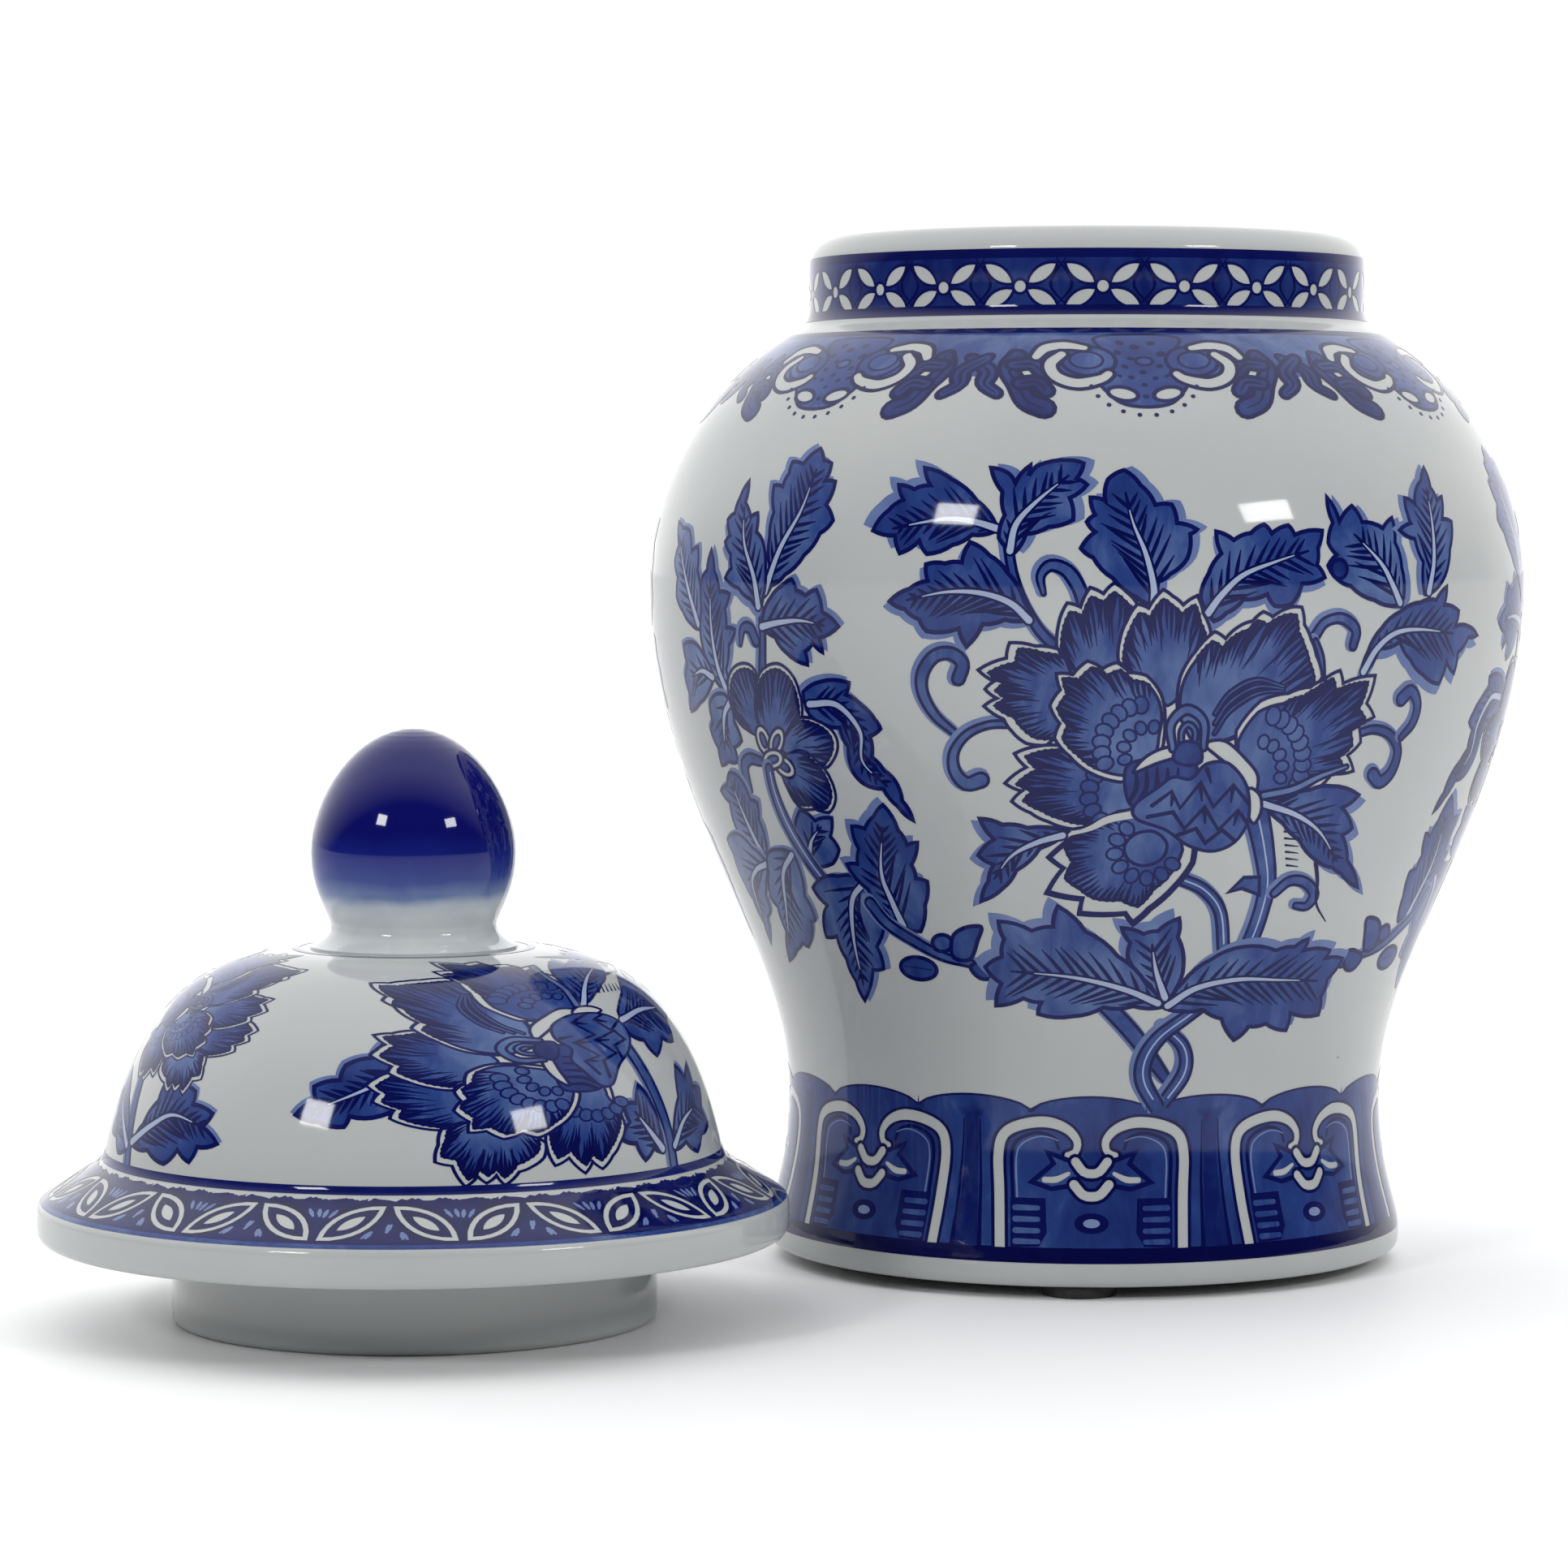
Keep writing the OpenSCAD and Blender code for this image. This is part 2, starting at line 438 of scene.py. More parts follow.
@dataclass
class Surface:
    """The outside of a turned piece, measured along its outline in millimetres from a level height."""

    outline: np.ndarray
    centre: Point
    level: float

    def __post_init__(self) -> None:
        """Measure the outline."""
        steps = np.hypot(*np.diff(self.outline, axis=0).T)
        along = np.concatenate([[0], np.cumsum(steps)]) / MM
        heights = self.outline[:, 1]
        i = int(np.nonzero((heights[:-1] < self.level) & (heights[1:] >= self.level))[0][0])
        part = (self.level - heights[i]) / (heights[i + 1] - heights[i])
        self.along = along - (along[i] + part * (along[i + 1] - along[i]))
        slope = np.gradient(self.outline, self.along * MM, axis=0)
        self.normal = np.stack([slope[:, 1], -slope[:, 0]], 1)
        self.normal /= np.hypot(*self.normal.T)[:, None]

    def radius(self, s: np.ndarray) -> np.ndarray:
        """Radius in millimetres at distances s along the outline."""
        return np.interp(s, self.along, self.outline[:, 0]) / MM

    def place(self, angle: np.ndarray, s: np.ndarray, proud: float) -> tuple[np.ndarray, np.ndarray]:
        """Points on the surface, with the axis at the origin.

        Args:
            angle: radians from the front, growing to the right.
            s: millimetres along the outline.
            proud: how far the points stand off the surface, in metres.

        Returns:
            The points and the surface's directions there.
        """
        nr = np.interp(s, self.along, self.normal[:, 0])
        nz = np.interp(s, self.along, self.normal[:, 1])
        size = np.hypot(nr, nz)
        nr, nz = nr / size, nz / size
        r = np.interp(s, self.along, self.outline[:, 0]) + proud * nr
        z = np.interp(s, self.along, self.outline[:, 1]) + proud * nz
        sin, cos = np.sin(angle), np.cos(angle)
        return np.stack([r * sin, -r * cos, z], 1), np.stack([nr * sin, -nr * cos, nz], 1)

    def directions(self, points: np.ndarray) -> np.ndarray:
        """The surface's direction at points that lie near it.

        Args:
            points: world positions in metres.

        Returns:
            A unit vector for each point.
        """
        flat = points[:, :2] - np.array(self.centre)
        radius = np.hypot(*flat.T)
        inside = (self.along > self.span[0]) & (self.along < self.span[1])
        line, normal = self.outline[inside], self.normal[inside]
        result = np.empty_like(points)
        for first in range(0, len(points), 4000):
            part = slice(first, first + 4000)
            away = (radius[part, None] - line[None, :, 0])**2 + (points[part, 2, None] - line[None, :, 1])**2
            nearest = np.argsort(away, axis=1)[:, :2]
            gaps = np.sqrt(np.take_along_axis(away, nearest, 1)) + 1e-9
            share = gaps[:, ::-1] / gaps.sum(1, keepdims=True)
            n = (normal[nearest] * share[..., None]).sum(1)
            n /= np.hypot(*n.T)[:, None]
            unit = flat[part] / radius[part, None]
            result[part, :2] = unit * n[:, :1]
            result[part, 2] = n[:, 1]
        return result

    span: Point = (-1e3, 1e3)


# ---------------------------------------------------------------------------------------------------------------
# Geometry Nodes
# ---------------------------------------------------------------------------------------------------------------


class TreeMaker:
    """Short calls for building one Geometry Nodes tree with named inputs."""

    def __init__(self, name: str, inputs: Sequence[tuple[str, str]]) -> None:
        """Start a tree.

        Args:
            name: the tree's name.
            inputs: name and socket type of each input after the geometry.
        """
        self.tree = bpy.data.node_groups.new(name, "GeometryNodeTree")
        face = self.tree.interface
        face.new_socket("Geometry", in_out="INPUT", socket_type="NodeSocketGeometry")
        face.new_socket("Geometry", in_out="OUTPUT", socket_type="NodeSocketGeometry")
        self.identifiers = {n: face.new_socket(n, in_out="INPUT", socket_type=kind).identifier for n, kind in inputs}
        self.source = self.tree.nodes.new("NodeGroupInput")
        self.sink = self.tree.nodes.new("NodeGroupOutput")

    def add(self, kind: str, links: dict[str | int, object] | None = None, **attributes: object) -> bpy.types.Node:
        """Add a node.

        Args:
            kind: the node's type.
            links: what goes into each input, a socket or a constant.
            attributes: the node's attributes.

        Returns:
            The new node.
        """
        node = self.tree.nodes.new(kind)
        for name, value in attributes.items():
            setattr(node, name, value)
        for key, value in (links or {}).items():
            if isinstance(value, bpy.types.NodeSocket):
                self.tree.links.new(value, node.inputs[key])
            else:
                node.inputs[key].default_value = value
        return node

    def value(self, operation: str, a: object, b: object = 0.0) -> bpy.types.NodeSocket:
        """Maths on two values, each a socket or a number."""
        return self.add("ShaderNodeMath", {0: a, 1: b}, operation=operation).outputs[0]

    def finish(self, geometry: bpy.types.NodeSocket) -> "TreeMaker":
        """End the tree in Realize Instances and Set Material.

        Args:
            geometry: what the tree has made.

        Returns:
            This maker.
        """
        real = self.add("GeometryNodeRealizeInstances", {"Geometry": geometry})
        dressed = self.add("GeometryNodeSetMaterial", {"Geometry": real.outputs[0],
                                                       "Material": self.source.outputs["Material"]})
        self.tree.links.new(dressed.outputs[0], self.sink.inputs[0])
        return self

    def apply(self, name: str, mesh: bpy.types.Mesh, **values: object) -> bpy.types.Object:
        """Run the tree on a mesh and keep the plain result.

        Args:
            name: the piece's name.
            mesh: what goes in.
            values: the named inputs, with _ for a space.

        Returns:
            A plain mesh object at the origin.
        """
        carrier = bpy.data.objects.new(name + "_source", mesh)
        bpy.context.scene.collection.objects.link(carrier)
        modifier = carrier.modifiers.new("build", "NODES")
        modifier.node_group = self.tree
        for key, value in values.items():
            modifier[self.identifiers[key.replace("_", " ")]] = value
        bpy.context.view_layer.update()
        graph = bpy.context.evaluated_depsgraph_get()
        result = bpy.data.meshes.new_from_object(carrier.evaluated_get(graph), depsgraph=graph)
        carrier.modifiers.clear()
        bpy.data.objects.remove(carrier)
        bpy.data.meshes.remove(mesh)
        result.name = name
        piece = bpy.data.objects.new(name, result)
        bpy.context.scene.collection.objects.link(piece)
        return piece


def lathe_tree() -> TreeMaker:
    """A tree that turns a row of outline points about an upright axis."""
    t = TreeMaker("turn_on_lathe", [("Segments", "NodeSocketInt"), ("Centre", "NodeSocketVector"),
                                    ("Weld", "NodeSocketFloat"), ("Material", "NodeSocketMaterial")])
    rows = t.add("GeometryNodeAttributeDomainSize", {"Geometry": t.source.outputs["Geometry"]}, component="MESH")
    across = t.value("ADD", t.source.outputs["Segments"], 1.0)
    grid = t.add("GeometryNodeMeshGrid", {"Vertices X": rows.outputs["Point Count"], "Vertices Y": across})
    index = t.add("GeometryNodeInputIndex").outputs[0]
    row = t.value("FLOOR", t.value("DIVIDE", t.value("ADD", index, 0.5), across))
    column = t.value("SUBTRACT", index, t.value("MULTIPLY", row, across))
    angle = t.value("MULTIPLY", t.value("DIVIDE", column, t.source.outputs["Segments"]), TAU)
    place = t.add("GeometryNodeInputPosition").outputs[0]
    point = t.add("GeometryNodeSampleIndex", {"Geometry": t.source.outputs["Geometry"], "Index": row},
                  data_type="FLOAT_VECTOR", domain="POINT")
    t.tree.links.new(place, [s for s in point.inputs if s.name == "Value" and s.enabled][0])
    sampled = [s for s in point.outputs if s.enabled][0]
    turned = t.add("ShaderNodeVectorRotate", {"Vector": sampled, "Angle": angle}, rotation_type="Z_AXIS")
    moved = t.add("ShaderNodeVectorMath", {0: turned.outputs[0], 1: t.source.outputs["Centre"]}, operation="ADD")
    shaped = t.add("GeometryNodeSetPosition", {"Geometry": grid.outputs["Mesh"], "Position": moved.outputs[0]})
    welded = t.add("GeometryNodeMergeByDistance", {"Geometry": shaped.outputs[0],
                                                   "Distance": t.source.outputs["Weld"]})
    smooth = t.add("GeometryNodeSetShadeSmooth", {"Geometry": welded.outputs[0]})
    return t.finish(smooth.outputs[0])


def repeat_tree() -> TreeMaker:
    """A tree that repeats a painted tile round an upright axis."""
    t = TreeMaker("repeat_round_axis", [("Copies", "NodeSocketInt"), ("Centre", "NodeSocketVector"),
                                        ("Material", "NodeSocketMaterial")])
    points = t.add("GeometryNodePoints", {"Count": t.source.outputs["Copies"],
                                          "Position": t.source.outputs["Centre"]})
    index = t.add("GeometryNodeInputIndex").outputs[0]
    angle = t.value("MULTIPLY", t.value("DIVIDE", index, t.source.outputs["Copies"]), TAU)
    spin = t.add("ShaderNodeCombineXYZ", {"Z": angle})
    copies = t.add("GeometryNodeInstanceOnPoints", {"Points": points.outputs[0],
                                                    "Instance": t.source.outputs["Geometry"],
                                                    "Rotation": spin.outputs[0]})
    return t.finish(copies.outputs[0])


LATHE = lathe_tree()
REPEAT = repeat_tree()


def turned_piece(name: str, outline: np.ndarray, centre: Point, material: bpy.types.Material,
                 segments: int = 240) -> bpy.types.Object:
    """Turn an outline into a closed, smooth, outward-facing piece.

    Args:
        name: the piece's name.
        outline: radius and height in metres.
        centre: where the axis stands, in metres.
        material: its finish.
        segments: how many flats go round.

    Returns:
        The piece.
    """
    rows = [(r, 0.0, z) for r, z in outline]
    if rows[0][0] > 1e-6:
        rows.insert(0, (0.0, 0.0, rows[0][2]))
    if rows[-1][0] > 1e-6:
        rows.append((0.0, 0.0, rows[-1][2]))
    mesh = bpy.data.meshes.new(name + "_outline")
    mesh.from_pydata(rows, [], [])
    piece = LATHE.apply(name, mesh, Segments=segments, Centre=(centre[0], centre[1], 0.0), Weld=2e-6,
                        Material=material)
    work = bmesh.new()
    work.from_mesh(piece.data)
    bmesh.ops.recalc_face_normals(work, faces=work.faces)
    if work.calc_volume(signed=True) < 0:
        bmesh.ops.reverse_faces(work, faces=work.faces)
    work.to_mesh(piece.data)
    work.free()
    piece.data.set_sharp_from_angle(angle=math.radians(30))
    return piece


def settle(piece: bpy.types.Object, body: str, slot: str, *replaced: str) -> bpy.types.Object:
    """Give a finished piece to its body.

    Args:
        piece: the piece.
        body: the CAD body that it rides on.
        slot: the record's material slot; not used.
        replaced: the CAD nodes that it stands for.

    Returns:
        The piece.
    """
    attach(piece, body)
    if replaced:
        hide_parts(*replaced)
    log.info("%s: %d faces, rides on %s", piece.name, len(piece.data.polygons), body)
    return piece


# ---------------------------------------------------------------------------------------------------------------
# Drawing
# ---------------------------------------------------------------------------------------------------------------


def curved(path: Path, closed: bool = False, spacing: float = 0.9) -> np.ndarray:
    """A smooth curve through a few points.

    Args:
        path: the points, in millimetres.
        closed: whether the curve returns to its start.
        spacing: rough distance between the new points.

    Returns:
        The finer path.
    """
    p = np.array(path, float)
    if len(p) < 3:
        return p
    before = p[-1:] if closed else 2 * p[:1] - p[1:2]
    after = p[:2] if closed else 2 * p[-1:] - p[-2:-1]
    q = np.concatenate([before, p, after])
    result = []
    for i in range(1, len(q) - 2):
        a, b, c, d = q[i - 1:i + 3]
        steps = max(2, math.ceil(float(np.hypot(*(c - b))) / spacing))
        for t in np.arange(steps) / steps:
            result.append(0.5 * (2 * b + (c - a) * t + (2 * a - 5 * b + 4 * c - d) * t**2
                                 + (3 * b - a - 3 * c + d) * t**3))
    if not closed:
        result.append(p[-1])
    return np.array(result)


def signed_area(path: np.ndarray) -> float:
    """Area inside a closed path, positive if it runs anticlockwise."""
    x, y = path.T
    return float(0.5 * (x @ np.roll(y, -1) - y @ np.roll(x, -1)))


def bulged(path: Path, amount: float = 0.07) -> np.ndarray:
    """Round the edges between a closed outline's corners outwards, as a brush does between two teeth.

    Args:
        path: the corners.
        amount: height of each bulge as a share of its edge.

    Returns:
        The outline with three more points on each edge.
    """
    p = np.array(path, float)
    turn = math.copysign(1.0, signed_area(p))
    result = []
    for a, b in zip(p, np.roll(p, -1, 0)):
        along = b - a
        out = turn * np.array([along[1], -along[0]])
        for t in (0.0, 0.25, 0.5, 0.75):
            result.append(a + along * t + out * amount * 4 * t * (1 - t))
    return np.array(result)


def grown(path: np.ndarray, by: float, limit: float = 2.4) -> np.ndarray:
    """A closed outline moved outwards, with its corners kept sharp up to a limit.

    Args:
        path: the outline.
        by: how far, in millimetres; a negative number moves it inwards.
        limit: longest corner, in multiples of the move.

    Returns:
        The moved outline.
    """
    turn = math.copysign(1.0, signed_area(path))
    ahead = np.roll(path, -1, 0) - path
    ahead /= np.maximum(np.hypot(*ahead.T), 1e-9)[:, None]
    out = turn * np.stack([ahead[:, 1], -ahead[:, 0]], 1)
    corner = out + np.roll(out, 1, 0)
    size = np.maximum(np.hypot(*corner.T), 1e-6)
    reach = np.minimum(2 / size, limit)
    return path + by * corner / size[:, None] * reach[:, None]


def ellipse(centre: Point, rx: float, ry: float, tilt: float = 0.0, count: int = 18) -> np.ndarray:
    """An ellipse.

    Args:
        centre: its middle.
        rx: half its length.
        ry: half its width.
        tilt: degrees that its length is turned.
        count: number of points.

    Returns:
        The closed path.
    """
    a = np.arange(count) * TAU / count
    x, y = rx * np.cos(a), ry * np.sin(a)
    c, s = math.cos(math.radians(tilt)), math.sin(math.radians(tilt))
    return np.stack([centre[0] + c * x - s * y, centre[1] + s * x + c * y], 1)


def lens(centre: Point, length: float, width: float, tilt: float, count: int = 9) -> np.ndarray:
    """An almond with two points.

    Args:
        centre: its middle.
        length: from point to point.
        width: at the middle.
        tilt: degrees that its length is turned.
        count: points on each side.

    Returns:
        The closed path.
    """
    t = np.linspace(-1, 1, count)
    side = width / 2 * (1 - t**2)**0.9
    x = np.concatenate([t, t[-2:0:-1]]) * length / 2
    y = np.concatenate([side, -side[-2:0:-1]])
    c, s = math.cos(math.radians(tilt)), math.sin(math.radians(tilt))
    return np.stack([centre[0] + c * x - s * y, centre[1] + s * x + c * y], 1)


def brushed(path: np.ndarray, widths: Sequence[float]) -> np.ndarray:
    """The outline of a brush stroke with rounded ends.

    Args:
        path: the stroke's middle.
        widths: its widths, spaced evenly from start to end.

    Returns:
        The closed outline.
    """
    step = np.diff(path, axis=0)
    length = np.maximum(np.hypot(*step.T), 1e-9)
    along = np.concatenate([[0], np.cumsum(length)])
    width = np.interp(along / along[-1], np.linspace(0, 1, len(widths)), widths) / 2
    unit = step / length[:, None]
    mean = np.concatenate([unit[:1], unit[:-1] + unit[1:], unit[-1:]])
    mean /= np.maximum(np.hypot(*mean.T), 0.35)[:, None]
    side = np.stack([-mean[:, 1], mean[:, 0]], 1) * width[:, None]

    def cap(centre: np.ndarray, first: np.ndarray) -> list[np.ndarray]:
        """Half a circle from the first edge point, clockwise."""
        angles = [-math.pi * k / 6 for k in range(1, 6)]
        return [centre + np.array([math.cos(a) * first[0] - math.sin(a) * first[1],
                                   math.sin(a) * first[0] + math.cos(a) * first[1]]) for a in angles]

    left, right = path + side, path - side
    end = cap(path[-1], side[-1]) if width[-1] > 0.2 else []
    start = cap(path[0], -side[0]) if width[0] > 0.2 else []
    return np.array([*left, *end, *right[::-1], *start])


@dataclass
class Shape:
    """One painted area: its outline as angle and distance along the surface, its ink and its strength."""

    outline: np.ndarray
    ink: Ink
    tone: float
    glow: Optional[tuple[float, float, float, float]] = None


@dataclass
class Drawing:
    """Painted shapes for one tile of a band, in millimetres beside and along a meridian of its surface.

    Later shapes lie over earlier ones. A tile is repeated `copies` times round the axis.
    """

    surface: Surface
    copies: int
    start: float
    low: float
    high: float
    grain: float = 3.2
    seed: int = 5
    meridian: float = 0.0
    mirror: Optional[float] = None
    pose: tuple[float, float, float, float, float] = (1.0, 0.0, 0.0, 0.0, 1.0)
    shapes: list[Shape] = field(default_factory=list)

    def __post_init__(self) -> None:
        """Seed the hand's small variations."""
        self.hand = np.random.default_rng(self.seed)
        self.period = TAU / self.copies
        self.start = math.radians(self.start)

    def laid(self, path: np.ndarray) -> np.ndarray:
        """Turn millimetres on the flat drawing into angle and distance on the surface.

        Args:
            path: points beside and along the meridian.

        Returns:
            The same points as radians and millimetres.
        """
        scale, turn, dx, dy, stretch = self.pose
        path = path * (1.0, stretch)
        c, s = scale * math.cos(math.radians(turn)), scale * math.sin(math.radians(turn))
        x = c * path[:, 0] - s * path[:, 1] + dx
        y = s * path[:, 0] + c * path[:, 1] + dy
        angle = math.radians(self.meridian) + x / self.surface.radius(y)
        if self.mirror is not None:
            angle = 2 * math.radians(self.mirror) - angle
        return np.stack([angle, y], 1)

    def fill(self, path: Path | np.ndarray, ink: Ink, tone: float = 0.6,
             glow: Optional[tuple[Point, float, float]] = None) -> None:
        """Add a filled shape.

        Args:
            path: its closed outline.
            ink: its ink.
            tone: its strength.
            glow: a paler middle: where it is, how far it reaches, and the strength there.
        """
        p = stepped(np.array(path, float))
        paler = None
        if glow:
            (cx, cy), reach, weak = glow
            angle, s = self.laid(np.array([[cx, cy]], float))[0]
            paler = (float(angle), float(s), reach * self.pose[0], weak)
        self.shapes.append(Shape(self.laid(p), ink, tone, paler))

    def band(self, half: float, low: float, high: float, ink: Ink, tone: float = 0.6) -> None:
        """Add a filled strip across the drawing.

        Args:
            half: half its length.
            low: its lower edge.
            high: its upper edge.
            ink: what it leaves.
            tone: how strong it is.
        """
        self.fill([(-half, low), (half, low), (half, high), (-half, high)], ink, tone)

    def stroke(self, path: Path | np.ndarray, widths: Sequence[float] | float, ink: Ink, tone: float = 0.8) -> None:
        """Add a brush stroke.

        Args:
            path: its middle.
            widths: one width, or several from start to end.
            ink: its ink.
            tone: its strength.
        """
        sizes = (widths, widths) if isinstance(widths, (int, float)) else widths
        self.fill(brushed(np.array(path, float), sizes), ink, tone)

    def stem(self, path: Path, widths: Sequence[float], tone: float = 0.42, fringe: bool = True) -> None:
        """Add a stem or scroll: a dark edge, a wash inside and a pale streak.

        Args:
            path: a few points along its middle.
            widths: its widths from start to end.
            tone: strength of the wash.
            fringe: whether a watery edge shows beside it.
        """
        line = curved(path)
        if fringe:
            self.stroke(line + (-0.5, 0.4), [w + 1.1 for w in widths], Ink.FRINGE, 0.9)
        self.stroke(line, [w + 0.35 for w in widths], Ink.LINE)
        self.stroke(line, [max(w - 0.95, 0.3) for w in widths], Ink.WASH, tone)
        if min(widths) > 2.2:
            self.stroke(line[1:-2] + (0.15, 0.0), 0.34, Ink.FRINGE, 0.2)

    def leaf(self, outline: Path, midrib: Path, tone: float = 0.62, fringe: Point = (-0.7, 0.7),
             spacing: float = 2.3) -> None:
        """Add a toothed leaf with a pale midrib, dark side veins and a wash that misses its edge a little.

        Args:
            outline: its corners.
            midrib: a few points from base to tip.
            tone: strength of the wash.
            fringe: how far the wash has slipped.
            spacing: distance between side veins.
        """
        edge = bulged(outline)
        rib = curved(midrib)
        slip = np.array(fringe) * 1.5
        self.fill(grown(edge, 0.35) + slip, Ink.FRINGE, 0.9)
        self.fill(grown(edge, 0.42), Ink.LINE)
        self.fill(grown(edge, -0.46), Ink.WASH, tone - 0.06, (tuple(rib[len(rib) // 3]), 13.0, tone - 0.34))
        along = np.concatenate([[0], np.cumsum(np.hypot(*np.diff(rib, axis=0).T))])
        count = int(along[-1] / spacing)
        for k in range(count):
            at = (k + 0.6) * spacing
            here = np.array([np.interp(at, along, rib[:, i]) for i in (0, 1)])
            ahead = np.array([np.interp(min(at + 1.0, along[-1]), along, rib[:, i]) for i in (0, 1)]) - here
            if np.hypot(*ahead) < 0.2:
                continue
            ahead /= np.hypot(*ahead)
            for side in (-1, 1):
                lean = math.radians(side * (44 + self.hand.uniform(-5, 5)))
                way = np.array([ahead[0] * math.cos(lean) - ahead[1] * math.sin(lean),
                                ahead[0] * math.sin(lean) + ahead[1] * math.cos(lean)])
                room = reach_to(edge, here, way)
                if room < 2.0:
                    continue
                stop = min(room * self.hand.uniform(0.55, 0.78), 9.0)
                bend = 0.10 * stop * ahead
                self.stroke([here + way * 0.5, here + way * stop * 0.55 + bend * 0.4, here + way * stop + bend],
                            (0.86, 0.8, 0.2), Ink.LINE)
        self.stroke(rib, (2.3, 1.8, 0.5), Ink.LINE)
        if len(rib) > 4:
            self.stroke(rib[: int(len(rib) * 0.88)], (1.35, 0.9, 0.2), Ink.FRINGE, 0.15)

    def petal(self, outline: Path, base: Point, border: float = 1.5, tone: float = 0.72, weak: float = 0.18,
              hatch: float = 0.34, reach: float = 24.0) -> None:
        """Add a petal: a toothed edge, a white border, and a wash with dark strokes that fades to its base.

        Args:
            outline: its corners.
            base: where its strokes meet.
            border: width of the white border.
            tone: strength of the wash at the edge.
            weak: strength of the wash at the base.
            hatch: length of the strokes as a share of the way to the base.
            reach: how far from the base the wash is at full strength.
        """
        edge = bulged(outline, 0.05)
        away = edge - np.array(base)
        far = np.maximum(np.hypot(*away.T), 1e-6)
        inner = np.array(base) + away * np.maximum(1 - border / far, 0.55)[:, None]
        self.fill(grown(edge, 0.36), Ink.LINE)
        if border > 0.9:
            self.fill(grown(edge, -0.34), Ink.BARE)
            self.fill(grown(inner, 0.32), Ink.LINE)
        self.fill(grown(inner, -0.34), Ink.WASH, tone - 0.1, (base, reach, weak - 0.02))
        longest = far.max()
        loop = np.concatenate([inner, inner[:1]])
        along = np.concatenate([[0], np.cumsum(np.hypot(*np.diff(loop, axis=0).T))])
        for at in np.arange(0.7, along[-1], 1.3):
            here = np.array([np.interp(at, along, loop[:, i]) for i in (0, 1)])
            back = np.array(base) - here
            distance = float(np.hypot(*back))
            if distance < 0.5 * longest:
                continue
            length = distance * hatch * self.hand.uniform(0.55, 1.2)
            sway = np.array([-back[1], back[0]]) / distance * length * 0.08 * self.hand.uniform(-1, 1)
            unit = back / distance
            self.stroke([here, here + unit * length * 0.5 + sway, here + unit * length], (0.95, 0.62, 0.12), Ink.LINE)

    def beads(self, centre: Point, radius: float, first: float, last: float, count: int, size: float = 1.5,
              squash: float = 1.0) -> None:
        """Add a ring of small outlined beads.

        Args:
            centre: middle of the ring.
            radius: its radius.
            first: angle of the first bead, in degrees.
            last: angle of the last bead.
            count: how many.
            size: half the length of one bead.
            squash: height of the ring as a share of its width.
        """
        for a in np.linspace(first, last, count):
            c, s = math.cos(math.radians(a)), math.sin(math.radians(a)) * squash
            middle = (centre[0] + radius * c, centre[1] + radius * s)
            self.fill(ellipse(middle, size + 0.35, size * 0.8 + 0.35, a, 12), Ink.LINE)
            self.fill(ellipse(middle, size - 0.15, size * 0.8 - 0.15, a, 12), Ink.WASH, 0.42)

    def outlined(self, path: Path | np.ndarray, tone: float = 0.5, line: float = 0.8, ink: Ink = Ink.WASH,
                 smooth: bool = True) -> None:
        """Add a plain area with a dark edge.

        Args:
            path: its closed outline.
            tone: strength of the inside.
            line: width of the edge.
            ink: ink of the inside.
            smooth: whether a curve runs through the points.
        """
        edge = curved(path, True) if smooth else np.array(path, float)
        self.fill(grown(edge, line / 2), Ink.LINE)
        self.fill(grown(edge, -line / 2), ink, tone)

    def cut(self) -> dict[Ink, tuple[np.ndarray, np.ndarray, np.ndarray]]:
        """Cut the overlapping shapes into one clean sheet of triangles for each ink.

        Returns:
            For each ink: points as angle and distance, triangles, and the strength at each point.
        """
        scale = float(self.surface.radius(np.array([(self.low + self.high) / 2]))[0])
        left, right = self.start * scale, (self.start + self.period) * scale
        placed: list[tuple[np.ndarray, Shape, float]] = []
        for shape in self.shapes:
            for turn in (-1, 0, 1):
                flat = shape.outline * (scale, 1.0) + (turn * self.period * scale, 0.0)
                if flat[:, 0].max() > left and flat[:, 0].min() < right:
                    placed.append((flat, shape, turn * self.period))
        verts: list[Point] = []
        edges: list[tuple[int, int]] = []
        border = stepped(np.array([(left, self.low), (right, self.low), (right, self.high), (left, self.high)]))
        for flat in [border, *[flat for flat, _, _ in placed]]:
            first, n = len(verts), len(flat)
            verts.extend(map(tuple, flat))
            edges.extend((first + i, first + (i + 1) % n) for i in range(n))
        rows = max(2, math.ceil((self.high - self.low) / (self.grain * 0.87)))
        columns = max(2, math.ceil((right - left) / self.grain))
        for j in range(1, rows):
            s = self.low + (self.high - self.low) * j / rows
            verts.extend((left + (right - left) * (i + 0.5 * (j % 2)) / columns, s) for i in range(columns + 1))
        found = delaunay_2d_cdt([Vector(v) for v in verts], edges, [], 0, 1e-4, False)
        points = np.array([tuple(v) for v in found[0]])
        triangles = np.array([f for f in found[2] if len(f) == 3])
        middle = points[triangles].mean(1)
        keep = (middle[:, 0] > left) & (middle[:, 0] < right) & (middle[:, 1] > self.low) & (middle[:, 1] < self.high)
        triangles, middle = triangles[keep], middle[keep]
        owner = np.full(len(triangles), -1)
        for number, (flat, _, _) in enumerate(placed):
            low, high = flat.min(0), flat.max(0)
            near = np.nonzero(((middle > low) & (middle < high)).all(1))[0]
            if len(near):
                owner[near[wound(flat, middle[near])]] = number
        result = {}
        angle_s = points / (scale, 1.0)
        for ink in (Ink.FRINGE, Ink.WASH, Ink.LINE):
            mine = np.array([n >= 0 and placed[n][1].ink is ink for n in range(-1, len(placed))])[owner + 1]
            if not mine.any():
                continue
            used, flat_index = np.unique(triangles[mine], return_inverse=True)
